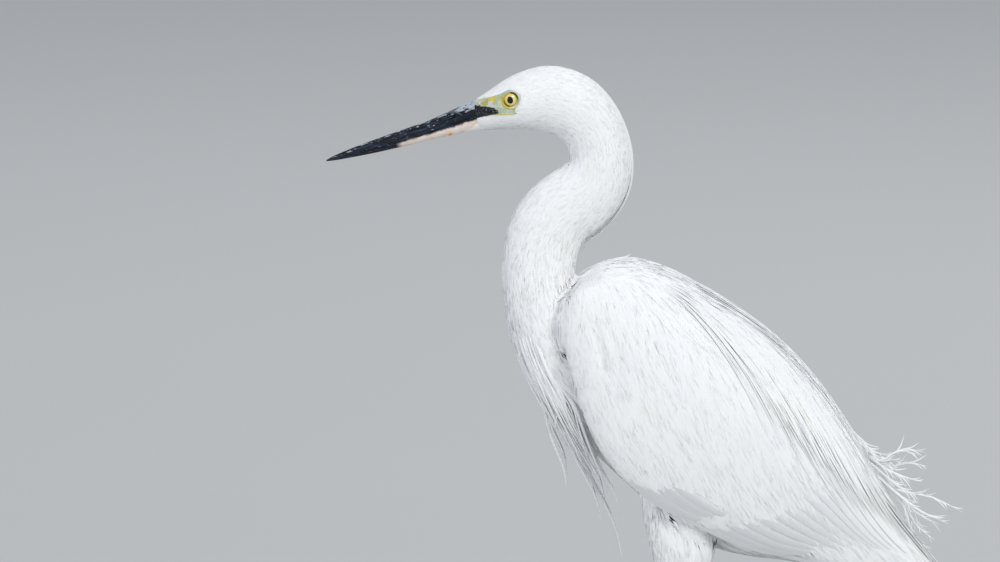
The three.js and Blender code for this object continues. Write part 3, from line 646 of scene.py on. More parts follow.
@dataclass(frozen=True)
class Vaned:
    """Broad white feathers with a shaft and fine barbs, which run on the feather's own map."""

    name: str = "white_vanes"
    white: Colour = (0.88, 0.88, 0.865)
    cool: Colour = (0.79, 0.81, 0.84)
    shaft: Colour = (0.8, 0.77, 0.68)
    # root: a grey towards each feather's base, painted shade under the feathers that overlap it
    root: Colour = (0.66, 0.67, 0.68)
    roughness: float = 0.55

    def material(self) -> Material:
        """Builds the finish: barbs slant from the shaft to both edges.

        Returns:
            The material.
        """
        s = Surface(self.name, Roughness=self.roughness, Specular_IOR_Level=0.0)
        tone, reach = s.attribute("tone"), s.attribute("reach")
        side, along = s.vane()[:2]
        across = s.math("ABSOLUTE", side)
        barb = s.node("CombineXYZ", None, X=s.minus(along, s.times(across, 1.3)), Y=across).outputs[0]
        line = s.noise(s.stretched(barb, (2.2, 0.25, 1)), 1.0, 2, 0.7)
        shaft = s.ramp(across, 0.45, 0.12)
        body = s.mix(s.ramp(line, 0.35, 0.7, 0.5), self.white, self.cool)
        body = s.mix(s.times(tone, 0.3), body, self.cool)
        body = s.mix(s.times(shaft, 0.6), body, self.shaft)
        # painted shade: darker towards each feather's root, where others lie over it
        s.paint(s.mix(s.ramp(reach, 0.0, 0.3), self.root, body))
        s.bump(s.plus(s.times(line, 0.6), shaft), 0.00035, 0.7)
        return s.material


@dataclass(frozen=True)
class Down:
    """The feathered skin under the coat, a soft grey white."""

    name: str = "down"
    light: Colour = (0.9, 0.9, 0.9)
    dark: Colour = (0.82, 0.83, 0.84)

    def material(self) -> Material:
        """Builds the finish: fine fluff in the colour and in the surface.

        Returns:
            The material.
        """
        s = Surface(self.name, Roughness=0.9, Specular_IOR_Level=0.0)
        fluff = s.noise(s.place(), 900, 4, 0.7)
        s.paint(s.mix(s.ramp(fluff, 0.35, 0.65), self.dark, self.light))
        s.bump(fluff, 0.0006)
        return s.material


@dataclass(frozen=True)
class Horn:
    """The blue-black sheath of the bill, streaked along it, flecked pale by wear and painted highlight, most
    along the top, and flaky at the root.
    """

    name: str
    dark: Colour = (0.006, 0.008, 0.013)
    slate: Colour = (0.035, 0.06, 0.11)
    # fleck: pale flecks of wear, which also serve as painted highlight in place of the horn's gloss
    fleck: Colour = (0.5, 0.55, 0.62)
    flesh: Colour = (0.74, 0.6, 0.53)
    pink: Colour = (0.8, 0.74, 0.7)
    keel: Colour = (0.86, 0.85, 0.83)
    spot: Colour = (0.85, 0.33, 0.06)
    base_yellow: Colour = (0.62, 0.55, 0.16)
    pale_below: bool = False

    def material(self) -> Material:
        """Builds the finish in lengths along the bill from its root and heights over the line of the mouth.

        Returns:
            The material.
        """
        s = Surface(self.name, Coat_Weight=0.12, Coat_Roughness=0.1, Specular_IOR_Level=0.16)
        where = s.place((Bill.root_x, 0, Bill.root_z), (0, -Bill.slope, 0))
        parts = s.parts(where)
        back, high = s.times(parts[0], -1000.0), s.times(parts[2], 1000.0)
        streak = s.noise(s.stretched(where, (110, 900, 1100)), 1.0, 5, 0.65)
        chips = s.noise(s.stretched(where, (300, 800, 900)), 1.0, 4, 0.7)
        ground = s.mix(s.ramp(streak, 0.5, 0.7), self.dark, self.slate)
        near = s.plus(s.ramp(back, 30.0, 2.0), s.ramp(back, 12.0, 2.0))
        near = s.times(near, s.plus(s.ramp(high, 1.2, 4.2, 1.3), -0.3))
        # ridge: more pale flecks along the top of the bill, painted highlight along the culmen
        ridge = s.ramp(s.minus(high, s.times(s.minus(82.0, back), 0.058)), -0.6, 0.8)
        worn = s.ramp(s.plus(chips, s.plus(s.times(near, 0.07), s.times(ridge, 0.08))), 0.61, 0.69)
        if self.pale_below:
            pale, cream = self.pale_root(s, where, back, high)
            ground = s.mix(pale, ground, cream)
            worn = s.times(worn, s.minus(1.0, pale))
        # the pale flecks: real wear, and painted highlight that stands in for the gloss
        s.paint(s.mix(s.times(worn, 0.85), ground, self.fleck))
        s.roughen(s.plus(s.times(streak, 0.6), s.times(worn, 0.5)), 0.22, 0.7)
        s.bump(s.plus(streak, s.times(worn, 0.6)), 0.00025, 0.8)
        return s.material

    def pale_root(self, s: Surface, where: Socket, back: Socket, high: Socket) -> tuple[Socket, Socket]:
        """The flesh-coloured root of the lower half, with one orange spot.

        Args:
            s: The finish under way.
            where: Coordinates from the bill's root.
            back: Lengths along the bill.
            high: Heights over the line of the mouth.

        Returns:
            Where it is pale, and its colour.
        """
        edge = s.plus(s.times(s.noise(where, 260, 3), 2.4), -1.2)
        pale = s.times(s.ramp(s.plus(high, edge), -1.5, -3.0), s.ramp(back, 45.5, 41.5))
        cream = s.mix(s.ramp(s.noise(where, 160, 3), 0.4, 0.65), self.flesh, self.pink)
        root = s.times(s.ramp(back, 5.0, 0.0), s.ramp(s.noise(where, 420, 2), 0.4, 0.6))
        cream = s.mix(root, cream, self.base_yellow)
        chin = s.plus(high, s.times(back, 0.32))
        cream = s.mix(s.ramp(s.plus(chin, edge), -3.2, -4.4), cream, self.keel)
        away = s.distance(s.stretched(where, (1000, 0, 1000)), (-16.5, 0, -6.0))
        return pale, s.mix(s.ramp(away, 1.5, 0.7), cream, self.spot)


@dataclass(frozen=True)
class BareSkin:
    """The bare skin before and around the eye: pale green with yellow, dark by the bill's edge."""

    name: str = "bare_skin"
    green: Colour = (0.45, 0.56, 0.36)
    blue: Colour = (0.5, 0.62, 0.56)
    yellow: Colour = (0.72, 0.6, 0.04)
    olive: Colour = (0.42, 0.4, 0.07)
    pale: Colour = (0.68, 0.68, 0.62)
    lid: Colour = (0.72, 0.82, 0.88)
    dark: Colour = (0.01, 0.011, 0.016)
    fleck: Colour = (0.24, 0.26, 0.3)
    # rim: a dark edge round the eye opening, partly the lid's own margin, partly painted shadow of the lid
    rim: Colour = (0.03, 0.025, 0.02)

    def material(self) -> Material:
        """Builds the finish from distances to the eye and to the bill.

        Returns:
            The material.
        """
        flesh = {"Subsurface_Weight": 0.12, "Subsurface_Scale": 0.001}
        s = Surface(self.name, Roughness=0.5, Specular_IOR_Level=0.25, **flesh)
        where = s.place((EYE_CENTRE[0], 0, EYE_CENTRE[2]))
        parts = s.parts(where)
        x, z = s.times(parts[0], 1000.0), s.times(parts[2], 1000.0)
        cloud, patchy = s.noise(where, 500, 4, 0.6), s.noise(where, 230, 3, 0.6)
        flat = s.stretched(where, (1000, 0, 1000))
        from_eye = s.length(flat)
        ground = s.mix(s.ramp(cloud, 0.35, 0.65), self.green, self.blue)
        ground = s.mix(s.ramp(patchy, 0.5, 0.6, 0.75), ground, self.pale)
        spotted = s.ramp(s.plus(s.noise(where, 330, 2), s.times(cloud, 0.3)), 0.62, 0.72)
        ground = s.mix(s.times(s.ramp(x, -6.0, -9.5), s.ramp(cloud, 0.3, 0.55)), ground, self.pale)
        ground = s.mix(s.times(s.ramp(x, -4.5, -8.0), s.times(spotted, 0.45)), ground, self.olive)
        for ahead, high, size, colour in ((-10.2, 0.2, 1.9, self.yellow), (-13.6, -2.6, 2.1, self.olive)):
            away = s.distance(s.stretched(flat, (0.75, 0, 1)), (ahead * 0.75, 0, high))
            ragged = s.plus(s.times(patchy, 5.0), s.times(cloud, 6.0))
            frayed = s.plus(away, s.minus(ragged, 5.5))
            ground = s.mix(s.ramp(frayed, size, size - 0.7, 0.8), ground, colour)
        low_front = s.ramp(s.plus(s.times(x, 0.75), z), 0.5, -2.5)
        ring = s.times(s.ramp(from_eye, 6.0, 4.9), low_front)
        ground = s.mix(s.times(ring, 0.9), ground, self.yellow)
        bright = s.times(s.ramp(from_eye, 4.9, 4.5), s.times(low_front, s.ramp(x, -1.5, 0.5)))
        ground = s.mix(s.times(bright, 0.8), ground, self.lid)
        ground = s.mix(self.tongue(s, where, x, z), ground, self.flecked(s, where))
        # painted shadow of the lids: the dark rim round the eye is strongest at the upper back and lower front
        slanted = s.times(s.plus(x, z), 0.707)
        corner = s.plus(s.ramp(slanted, 2.0, 3.6), s.ramp(slanted, -2.6, -3.8, 0.7))
        rim = s.times(s.ramp(from_eye, 4.25, 3.9), s.plus(s.times(corner, 0.75), 0.2))
        s.paint(s.mix(rim, ground, self.rim))
        s.bump(s.plus(s.ramp(s.cells(where, 1500.0), 0.0, 0.25), cloud), 0.00022, 0.8)
        return s.material

    @staticmethod
    def tongue(s: Surface, where: Socket, x: Socket, z: Socket) -> Socket:
        """Where the dark of the bill runs into the skin.

        Args:
            s: The finish under way.
            where: Coordinates from the eye's axis.
            x: Their first part, in millimetres.
            z: Their last part, in millimetres.

        Returns:
            The pattern.
        """
        rough = s.times(s.minus(s.noise(where, 520, 4, 0.7), 0.5), 5.0)
        tip = s.ramp(x, -9.5, -5.0, 2.2)
        high = s.plus(s.plus(z, s.times(rough, 0.6)), s.plus(s.times(x, 0.08), tip))
        return s.times(s.ramp(high, -4.9, -5.5), s.ramp(s.plus(x, rough), -5.6, -6.8))

    def flecked(self, s: Surface, where: Socket) -> Socket:
        """The dark with its pale flecks."""
        worn = s.noise(s.stretched(where, (900, 1500, 1900)), 1.0, 3)
        return s.mix(s.ramp(worn, 0.58, 0.7), self.dark, self.fleck)


@dataclass(frozen=True)
class Iris:
    """A bright yellow iris with an orange rim round a black pupil, under a wet gloss."""

    name: str
    pupil: tuple[float, float] = (1.55, 1.95)
    yellow: Colour = (0.72, 0.58, 0.1)
    pale: Colour = (0.74, 0.68, 0.3)
    orange: Colour = (0.62, 0.33, 0.02)
    # corner: painted shadow of the lids, a dark arc at the iris's upper back and lower front edge
    corner: Colour = (0.02, 0.015, 0.01)
    black: Colour = (0.002, 0.002, 0.002)

    def material(self) -> Material:
        """Builds the finish from the distance to the eye's axis.

        Returns:
            The material.
        """
        s = Surface(self.name, Roughness=0.3, Specular_IOR_Level=0.15, Coat_Weight=0.6, Coat_Roughness=0.01)
        where = s.place((EYE_CENTRE[0], 0, EYE_CENTRE[2]))
        flat = s.stretched(where, (1000, 0, 1000))
        ringed = s.length(flat)
        turned = s.place((EYE_CENTRE[0] - 0.35, 0, EYE_CENTRE[2] - 0.1), (0, math.radians(-20), 0))
        pupil = s.length(s.stretched(turned, (1000 / self.pupil[0], 0, 1000 / self.pupil[1])))
        facing = s.node("VectorMath", {"operation": "NORMALIZE"}, i0=flat).outputs[0]
        fibre = s.noise(s.stretched(facing, (5, 0, 5)), 3.0, 4, 0.7)
        ground = s.mix(s.ramp(ringed, 1.8, 2.9), self.pale, self.yellow)
        ground = s.mix(s.ramp(fibre, 0.4, 0.7, 0.4), ground, self.pale)
        ground = s.mix(s.ramp(ringed, 2.7, 3.35), ground, self.orange)
        # painted shadow of the lids: a dark arc at the iris's edge, at the upper back and more faintly at the
        # lower front
        aslant = (0.707, 0, 0.707)
        slanted = s.node("VectorMath", {"operation": "DOT_PRODUCT"}, i0=facing, i1=aslant).outputs["Value"]
        corner = s.plus(s.ramp(slanted, 0.45, 0.8), s.ramp(slanted, -0.7, -0.95, 0.8))
        ground = s.mix(s.times(s.ramp(ringed, 3.1, 3.35), corner), ground, self.corner)
        s.paint(s.mix(s.ramp(pupil, 1.04, 0.96), ground, self.black))
        return s.material


@dataclass(frozen=True)
class Scaled:
    """Scaly skin of the legs: black down the shank, yellow-green on the toes."""

    name: str = "leg_skin"
    black: Colour = (0.014, 0.014, 0.013)
    worn: Colour = (0.06, 0.06, 0.052)
    toe: Colour = (0.5, 0.5, 0.07)
    olive: Colour = (0.24, 0.27, 0.06)
    groove: Colour = (0.01, 0.01, 0.008)

    def material(self) -> Material:
        """Builds the finish from the height over the floor and from small scales.

        Returns:
            The material.
        """
        s = Surface(self.name, Roughness=0.5, Coat_Weight=0.1, Coat_Roughness=0.4)
        where = s.place()
        scale = s.ramp(s.cells(where, 620.0), 0.0, 0.12)
        cloud = s.noise(where, 300, 3)
        height = s.parts(where)[2]
        black = s.mix(s.ramp(cloud, 0.45, 0.75), self.black, self.worn)
        yellow = s.mix(s.ramp(cloud, 0.4, 0.7), self.toe, self.olive)
        split = s.plus(height, s.times(cloud, 0.006))
        body = s.mix(s.ramp(split, 0.0145, 0.0105), black, yellow)
        s.paint(s.mix(scale, s.mix(0.6, body, self.groove), body))
        s.bump(s.plus(scale, s.times(cloud, 0.3)), 0.0002, 0.9)
        return s.material


@dataclass(frozen=True)
class ClawHorn:
    """Dark horn of the claws, streaked with brown."""

    name: str = "claw_horn"
    dark: Colour = (0.012, 0.01, 0.008)
    brown: Colour = (0.07, 0.05, 0.03)

    def material(self) -> Material:
        """Builds the finish with fine lines and a soft gloss.

        Returns:
            The material.
        """
        s = Surface(self.name, Coat_Weight=0.3, Coat_Roughness=0.2)
        streak = s.noise(s.stretched(s.place(), (1, 1, 3)), 1100, 3)
        s.paint(s.mix(s.ramp(streak, 0.4, 0.7), self.dark, self.brown))
        s.roughen(streak, 0.25, 0.5)
        s.bump(streak, 0.00006)
        return s.material


@dataclass(frozen=True)
class Gape:
    """The yellow fleshy corner of the mouth, dark where the bill starts."""

    name: str = "gape_skin"
    yellow: Colour = (0.86, 0.62, 0.03)
    olive: Colour = (0.62, 0.48, 0.05)
    dark: Colour = (0.015, 0.015, 0.018)

    def material(self) -> Material:
        """Builds the finish, with the dark ahead of a slanted line.

        Returns:
            The material.
        """
        s = Surface(self.name, Roughness=0.4, Subsurface_Weight=0.1, Subsurface_Scale=0.001)
        cloud = s.noise(s.place(), 700, 3)
        ahead = s.parts(s.place((-106.5, 0, 435.6)))
        yellow = s.mix(s.ramp(cloud, 0.35, 0.7), self.yellow, self.olive)
        dark = s.ramp(s.minus(ahead[0], s.times(ahead[2], 4.0)), 0.0006, -0.0006)
        s.paint(s.mix(dark, yellow, self.dark))
        s.bump(cloud, 0.0001)
        return s.material


@dataclass(frozen=True)
class Backdrop:
    """A plain pale floor."""

    name: str = "pale_floor"
    dark: Colour = (0.47, 0.47, 0.46)
    light: Colour = (0.5, 0.5, 0.495)

    def material(self) -> Material:
        """Builds the finish.

        Returns:
            The material.
        """
        s = Surface(self.name, Roughness=0.9)
        s.paint(s.mix(s.noise(s.place(), 0.6, 2), self.dark, self.light))
        return s.material


@dataclass
class Neck:
    """The head and neck, from the root of the bill over the nape and down the S to the breast."""

    stations: Rows = (
        (-118.5, 433.2, 8.1, 5.9), (-110, 435.6, 10.2, 8.8), (-104.3, 437.5, 12, 10.8),
        (-92, 441.1, 15.5, 12.9), (-79, 442.2, 17.9, 13.6), (-66.5, 438.3, 17.7, 13.4),
        (-58.3, 430.1, 16.8, 13.2), (-53.6, 420.3, 16.4, 13), (-52.2, 409.5, 16.8, 13),
        (-55.1, 399, 18.1, 13.2), (-63, 390.1, 19.5, 13.6), (-73, 383.1, 19.5, 13.8),
        (-80.4, 373.2, 20, 14), (-84, 360, 19.8, 14.6), (-84.6, 344, 19.6, 16.2),
        (-81, 324.5, 20.4, 19.5), (-72.5, 307, 21.6, 23), (-57.5, 291, 25, 25),
    )
    depths: Rows = ((0, 0.3), (2, 0.35), (5, 0.45), (8, 0.5), (13, 0.6), (17, 0.9))
    columns: int = 40
    rows: int = 150

    def __post_init__(self) -> None:
        """Works out the middle line and the sizes along it."""
        table = np.array(self.stations, float)
        self.line = Line(np.stack([table[:, 0], 0 * table[:, 0], table[:, 1]], axis=1))
        self.size = Profile([(i, deep, wide) for i, (_, _, deep, wide) in enumerate(self.stations)])
        self.depth = Profile(self.depths)
        self.last = len(self.stations) - 1

    def on(self, station: Array, turn: Array, lift: Array = 0.0) -> Array:
        """Places over the neck.

        Args:
            station: Stations along it.
            turn: Turned from the back of the neck to its left.
            lift: Height over the outer form.

        Returns:
            The places.
        """
        station, turn, lift = evened(station, turn, lift)
        flat = station.ravel()
        size = self.size(flat)
        heading = self.line.heading(flat / self.last)
        back = unit(np.cross(heading, SIDEWAYS))
        rise = ((size[:, 0] + lift.ravel()) * np.cos(turn.ravel()))[:, None]
        side = ((size[:, 1] + lift.ravel()) * np.sin(turn.ravel()))[:, None]
        spot = self.line.at(flat / self.last) + back * rise - SIDEWAYS * side
        return spot.reshape(*station.shape, 3)

    def skin(self) -> Shape:
        """The neck's own skin, inside the outer form by the coat's depth.

        Returns:
            The shape.
        """
        station = np.linspace(0, self.last, self.rows)[:, None]
        turn = circle(self.columns)[None, :]
        return shell(self.on(station, turn, -self.depth(station[:, 0])))

    def side_at(self, x: Array, z: Array) -> Array:
        """Half the width of the head at places seen from its side.

        Args:
            x: Places along X.
            z: Heights.

        Returns:
            The distances from the middle plane, 0 outside the outline.
        """
        station = np.linspace(0, 6, 600)
        middle = self.line.at(station / self.last)
        spots = np.stack([np.ravel(x), 0 * np.ravel(x), np.ravel(z)], axis=1)
        nearest = np.argmin(((spots[:, None] - middle[None]) ** 2).sum(-1), axis=1)
        away = np.linalg.norm(spots - middle[nearest], axis=1)
        deep, wide = self.size(station[nearest]).T
        return (wide * np.sqrt(np.clip(1 - (away / deep) ** 2, 0, 1))).reshape(np.shape(x))


@dataclass
class Trunk:
    """The body from the breast to the rump: distance, reach above and below the line, half width."""

    stations: Rows = (
        (2, 20, 0, 12), (6, 31, -14, 20), (14.7, 43, -27, 26), (33, 50.5, -41, 31), (52, 53.5, -47.5, 34),
        (71, 55.3, -50, 35), (90, 56, -52, 34.5), (108, 54.5, -52.5, 33), (130, 50, -53, 29.5),
        (153, 43, -44.5, 25), (171, 35.5, -34, 20.5), (187, 27.5, -26, 16), (203, 17, -19.5, 10.5),
        (212, 9, -14.5, 6),
    )
    stump: Rows = ((188, -9, 5, 9), (200, -11.6, 3.2, 10.5), (212, -12.6, 1.9, 11), (220, -13, 0.9, 9.5))
    depth: float = 1.1

    def __post_init__(self) -> None:
        """Works out the sizes along the body."""
        self.size = Profile(self.stations)
        self.stump_size = Profile(self.stump)

    def on(self, along: Array, turn: Array, lift: Array = 0.0) -> Array:
        """Places over the trunk.

        Args:
            along: Distances down the slope.
            turn: Turned from the back to the right.
            lift: Height over the outer form.

        Returns:
            The places.
        """
        along, turn = np.broadcast_arrays(np.asarray(along, float), np.asarray(turn, float))
        size = self.size(along)
        up, down, wide = size[..., 0], size[..., 1], size[..., 2]
        rise = (up + down) / 2 + ((up - down) / 2 + lift) * np.cos(turn)
        return on_body(along, rise, (wide + lift) * np.sin(turn))

    def skin(self) -> list[Shape]:
        """The trunk's skin and the stump of the tail.

        Returns:
            The two shapes.
        """
        turn = circle(48)[None, :]
        body = shell(self.on(np.linspace(4, 209, 80)[:, None], turn, -self.depth))
        along = np.linspace(188, 220, 12)[:, None]
        size = self.stump_size(along[:, 0])
        middle, thick, wide = (size[:, k][:, None] for k in range(3))
        small = circle(20)[None, :]
        stump = shell(on_body(along, middle + (thick - 0.3) * np.cos(small), (wide - 1) * np.sin(small)))
        return [body, stump]


@dataclass
class WingForm:
    """The folded wing's outer form.

    Its stations give the distance down the body, the upper and lower edge, the half width, and how far out
    from the middle the upper and lower edge stay.
    """

    length: float = 287
    stations: Rows = (
        (-6, 18.5, 13, 27.5, 24, 24), (-3, 25, 6.5, 29.5, 23, 24), (0, 30, 0.5, 31, 22, 25),
        (5, 36, -7, 34, 20, 26), (14.7, 45.3, -16.2, 38, 17, 27), (33, 52, -30.6, 42, 15, 28),
        (52, 55, -41.6, 44.5, 13, 28.5),
        (71, 56.5, -47.8, 45.5, 12, 28.5), (90, 57, -49, 45, 11, 28.5), (108, 55.5, -47.6, 43.5, 10, 28),
        (128, 51.5, -43.4, 40.5, 9, 26.5), (153, 44, -35.7, 35.5, 7.5, 24.5), (171, 37, -28, 30.5, 6, 22.5),
        (187, 30, -22.5, 26.5, 5, 20.5), (203, 23.5, -18, 22.5, 4.5, 18), (234, 14.2, -10.5, 15.5, 3.5, 13),
        (262, 7.5, -5, 10, 2.5, 8.5), (287, 1.2, -0.8, 5, 3, 4),
    )
    thickness: Rows = (
        (-6, 4), (0, 9), (20, 16), (70, 16), (130, 12), (165, 7), (190, 4), (234, 2.4), (262, 1.8), (287, 1),
    )
    depths: Rows = ((-6, 0.5), (0, 0.65), (60, 0.7), (140, 0.8), (200, 0.9), (287, 0.5))
    core_end: float = 176
    arc: float = math.radians(80)

    def __post_init__(self) -> None:
        """Works out the sizes along the wing."""
        self.size = Profile(self.stations)
        self.thick = Profile(self.thickness)
        self.depth = Profile(self.depths)

    def on(self, along: Array, share: Array, lift: Array = 0.0) -> Array:
        """Places over the left wing.

        Args:
            along: Distances from the wrist.
            share: From the lower edge, -1, to the upper edge, 1.
            lift: Height over the outer form.

        Returns:
            The places.
        """
        along, share, lift = evened(along, share, lift)
        size = self.size(along)
        upper, lower, wide = size[..., 0], size[..., 1], size[..., 2]
        turn = share * self.arc
        edge = np.where(share > 0, size[..., 3], size[..., 4])
        deep = (upper - lower) / 2
        above = (upper + lower) / 2 + deep * np.sin(turn) / math.sin(self.arc)
        side = edge + (wide - edge) * np.cos(turn)
        slant = unit(np.stack([(wide - edge) * np.sin(turn), deep * np.cos(turn)], axis=-1))
        slant = slant * lift[..., None]
        return on_body(along, above + slant[..., 0], -(side + slant[..., 1]))

    def out(self, along: Array, share: Array, lift: Array) -> tuple[Array, Array]:
        """Places over the left wing, and the ways out there.

        Args:
            along: Distances from the wrist.
            share: From the lower edge, -1, to the upper edge, 1.
            lift: Height over the outer form.

        Returns:
            The places and the directions.
        """
        places = self.on(along, share, lift)
        return places, unit(self.on(along, share, lift + 1) - places)

    def skin(self, end: float) -> Shape:
        """The left wing inside its outer form, under its small feathers.

        Args:
            end: How far down the wing it reaches.

        Returns:
            The shape.
        """
        along = np.linspace(-5, end, 90)[:, None]
        share = np.linspace(0.97, -0.97, 26)[None, :]
        depth = self.depth(along[:, 0])
        inner = -np.maximum(self.thick(along[:, 0]) * (1 - 0.72 * share**2), depth + 2.4)
        outer = self.on(along, share, -depth + 0 * share)
        return shell(np.concatenate([outer, self.on(along, share, inner)[:, ::-1]], axis=1))


@dataclass
class BackForm:
    """The back between the upper edges of the wings: distance, height of the ridge, half width."""

    stations: Rows = (
        (-5.5, 21, 4), (-1, 34, 7), (3, 39, 10), (8, 44, 14), (14.7, 48.5, 18), (33, 54.4, 18.8),
        (52, 57, 17.6), (71, 58.4, 16.8), (90, 58.8, 15.9), (108, 57.2, 14.8), (130, 52.6, 13.4),
        (153, 45, 11.4), (171, 37.5, 9.4), (187, 30.5, 8), (203, 24, 6.8), (220, 17.5, 4.6), (236, 12, 2),
        (290, 0, 2),
    )
    end: float = 232
    depth: float = 0.75
    rim: float = math.radians(75)

    def __post_init__(self) -> None:
        """Works out the sizes along the back."""
        self.size = Profile(self.stations)

    def on(self, wing: WingForm, along: Array, side: Array, lift: Array = 0.0) -> Array:
        """Places over the back and the tops of both wings, above whichever is the higher.

        Args:
            wing: The wing's outer form.
            along: Distances from the wrist.
            side: Distances from the middle.
            lift: Height over the surface.

        Returns:
            The places.
        """
        along, side, lift = evened(along, side, lift)
        ridge, wide = np.moveaxis(self.size(along), -1, 0)
        away = np.abs(side)
        share = away / wide
        back = np.where(share <= 1, ridge - 0.11 * wide * share**2, 0)
        size = wing.size(along)
        upper, lower, half, edge = (size[..., k] for k in range(4))
        turn = np.arccos(np.clip((away - edge) / (half - edge), 0.17, 1))
        arch = (upper + lower) / 2 + (upper - lower) / 2 * np.sin(turn) / math.sin(wing.arc)
        top = np.where(away >= edge, arch, 0)
        return on_body(along, np.maximum(back, top) + lift, side)

    def skin(self, wing: WingForm) -> Shape:
        """The flesh of the back, under its feathers.

        Args:
            wing: The wing's outer form.

        Returns:
            The shape.
        """
        along = np.linspace(-4.5, self.end, 70)[:, None]
        share = np.linspace(-1, 1, 25)[None, :]
        ridge = self.size(along[:, 0])[:, :1]
        upper, lower, half, edge = (wing.size(along[:, 0])[:, k][:, None] for k in range(4))
        rim = (upper + lower) / 2 + (upper - lower) / 2 * math.sin(self.rim) / math.sin(wing.arc)
        wide = edge + (half - edge) * math.cos(self.rim)
        top = lerp(ridge, np.minimum(rim, ridge), share**2) - self.depth
        behind = smoothstep(along, 12, 40)
        under = top - lerp(42, 9, behind)
        narrow = lerp(np.minimum(wide, 13), wide, behind)
        upper, lower = (on_body(along + 0 * share, h, w * share) for h, w in ((top, wide), (under, narrow)))
        return shell(np.concatenate([upper, lower[:, ::-1]], axis=1))


@dataclass
class ThighForm:
    """The feathered part of a leg: x and z of its line, half depth, half width, and way from the middle."""

    stations: Rows = (
        (-11, 262, 24, 11, 18), (-9.5, 236, 22.7, 11.5, 18), (-8.8, 206, 17.2, 10.5, 18.5),
        (-9, 183, 10.4, 7.8, 19), (-8, 160, 4.6, 4.4, 19), (-6.4, 154, 4.2, 4.1, 19),
    )
    depths: Rows = ((0, 0.7), (0.5, 0.6), (0.7, 0.5), (0.82, 0.4), (1, 0.35))

    def __post_init__(self) -> None:
        """Works out the middle line and the sizes along it."""
        self.line = Line([(x, y, z) for x, z, _, _, y in self.stations])
        count = len(self.stations) - 1
        self.size = Profile([(i / count, row[2], row[3]) for i, row in enumerate(self.stations)])
        self.depth = Profile(self.depths)

    def on(self, share: Array, turn: Array, lift: Array, side: Side) -> Array:
        """Places over a thigh.

        Args:
            share: From the top, 0, to the lower end, 1.
            turn: Turned from the front outwards.
            lift: Height over the outer form.
            side: The leg's side.

        Returns:
            The places.
        """
        share, turn, lift = evened(share, turn, lift)
        flat = share.ravel()
        size = self.size(flat)
        heading = self.line.heading(flat)
        front = unit(np.cross(SIDEWAYS, heading))
        rise = ((size[:, 0] + lift.ravel()) * np.cos(turn.ravel()))[:, None]
        out = ((size[:, 1] + lift.ravel()) * np.sin(turn.ravel()))[:, None]
        spot = self.line.at(flat) + front * rise + SIDEWAYS * out
        return (spot * side.from_right).reshape(*share.shape, 3)

    def skin(self, side: Side) -> Shape:
        """The thigh's flesh.

        Args:
            side: The leg's side.

        Returns:
            The shape.
        """
        share = np.linspace(0, 0.9, 50)[:, None]
        turn = circle(32)[None, :]
        return shell(self.on(share, turn, -self.depth(share[:, 0]), side))


@dataclass
class Figure:
    """All the forms of the bird, for whatever lies on them."""

    neck: Neck = field(default_factory=Neck)
    trunk: Trunk = field(default_factory=Trunk)
    wing: WingForm = field(default_factory=WingForm)
    back: BackForm = field(default_factory=BackForm)
    thigh: ThighForm = field(default_factory=ThighForm)


class Bed:
    """A closed surface over the body that small feathers stand on and lie along."""

    def __init__(self, bm: Shape, lie: "Lie") -> None:
        """Keeps the surface's places and normals, and how the feathers lie at its corners.

        Args:
            bm: The surface as triangles, in millimetres.
            lie: How the feathers lie.
        """
        bm.normal_update()
        self.tree = BVHTree.FromBMesh(bm)
        self.corners = np.array([v.co for v in bm.verts])
        self.normals = np.array([v.normal for v in bm.verts])
        self.faces = np.array([[v.index for v in f.verts] for f in bm.faces])
        self.flows, self.facts, self.tracts = lie.at(self.corners)

    def nearest(self, points: Array) -> tuple[Array, Array, Array, Array]:
        """The surface nearest to points, and how the feathers lie there.

        Args:
            points: Places in millimetres.

        Returns:
            Places on the surface, the normals, the feathers' directions and their facts.
        """
        found = [self.tree.find_nearest(p) for p in points.tolist()]
        spots = np.array([f[0] for f in found])
        faces = self.faces[np.array([f[2] for f in found])]
        a, b, c = (self.corners[faces[:, k]] for k in range(3))
        whole = np.linalg.norm(np.cross(b - a, c - a), axis=1)
        areas = [np.linalg.norm(np.cross(p - spots, q - spots), axis=1) for p, q in ((b, c), (c, a), (a, b))]
        weights = (np.stack(areas, axis=1) / np.maximum(whole, 1e-9)[:, None])[..., None]
        known = (self.normals, self.flows, self.facts)
        normals, flows, facts = ((values[faces] * weights).sum(1) for values in known)
        return spots, unit(normals), unit(flows), facts


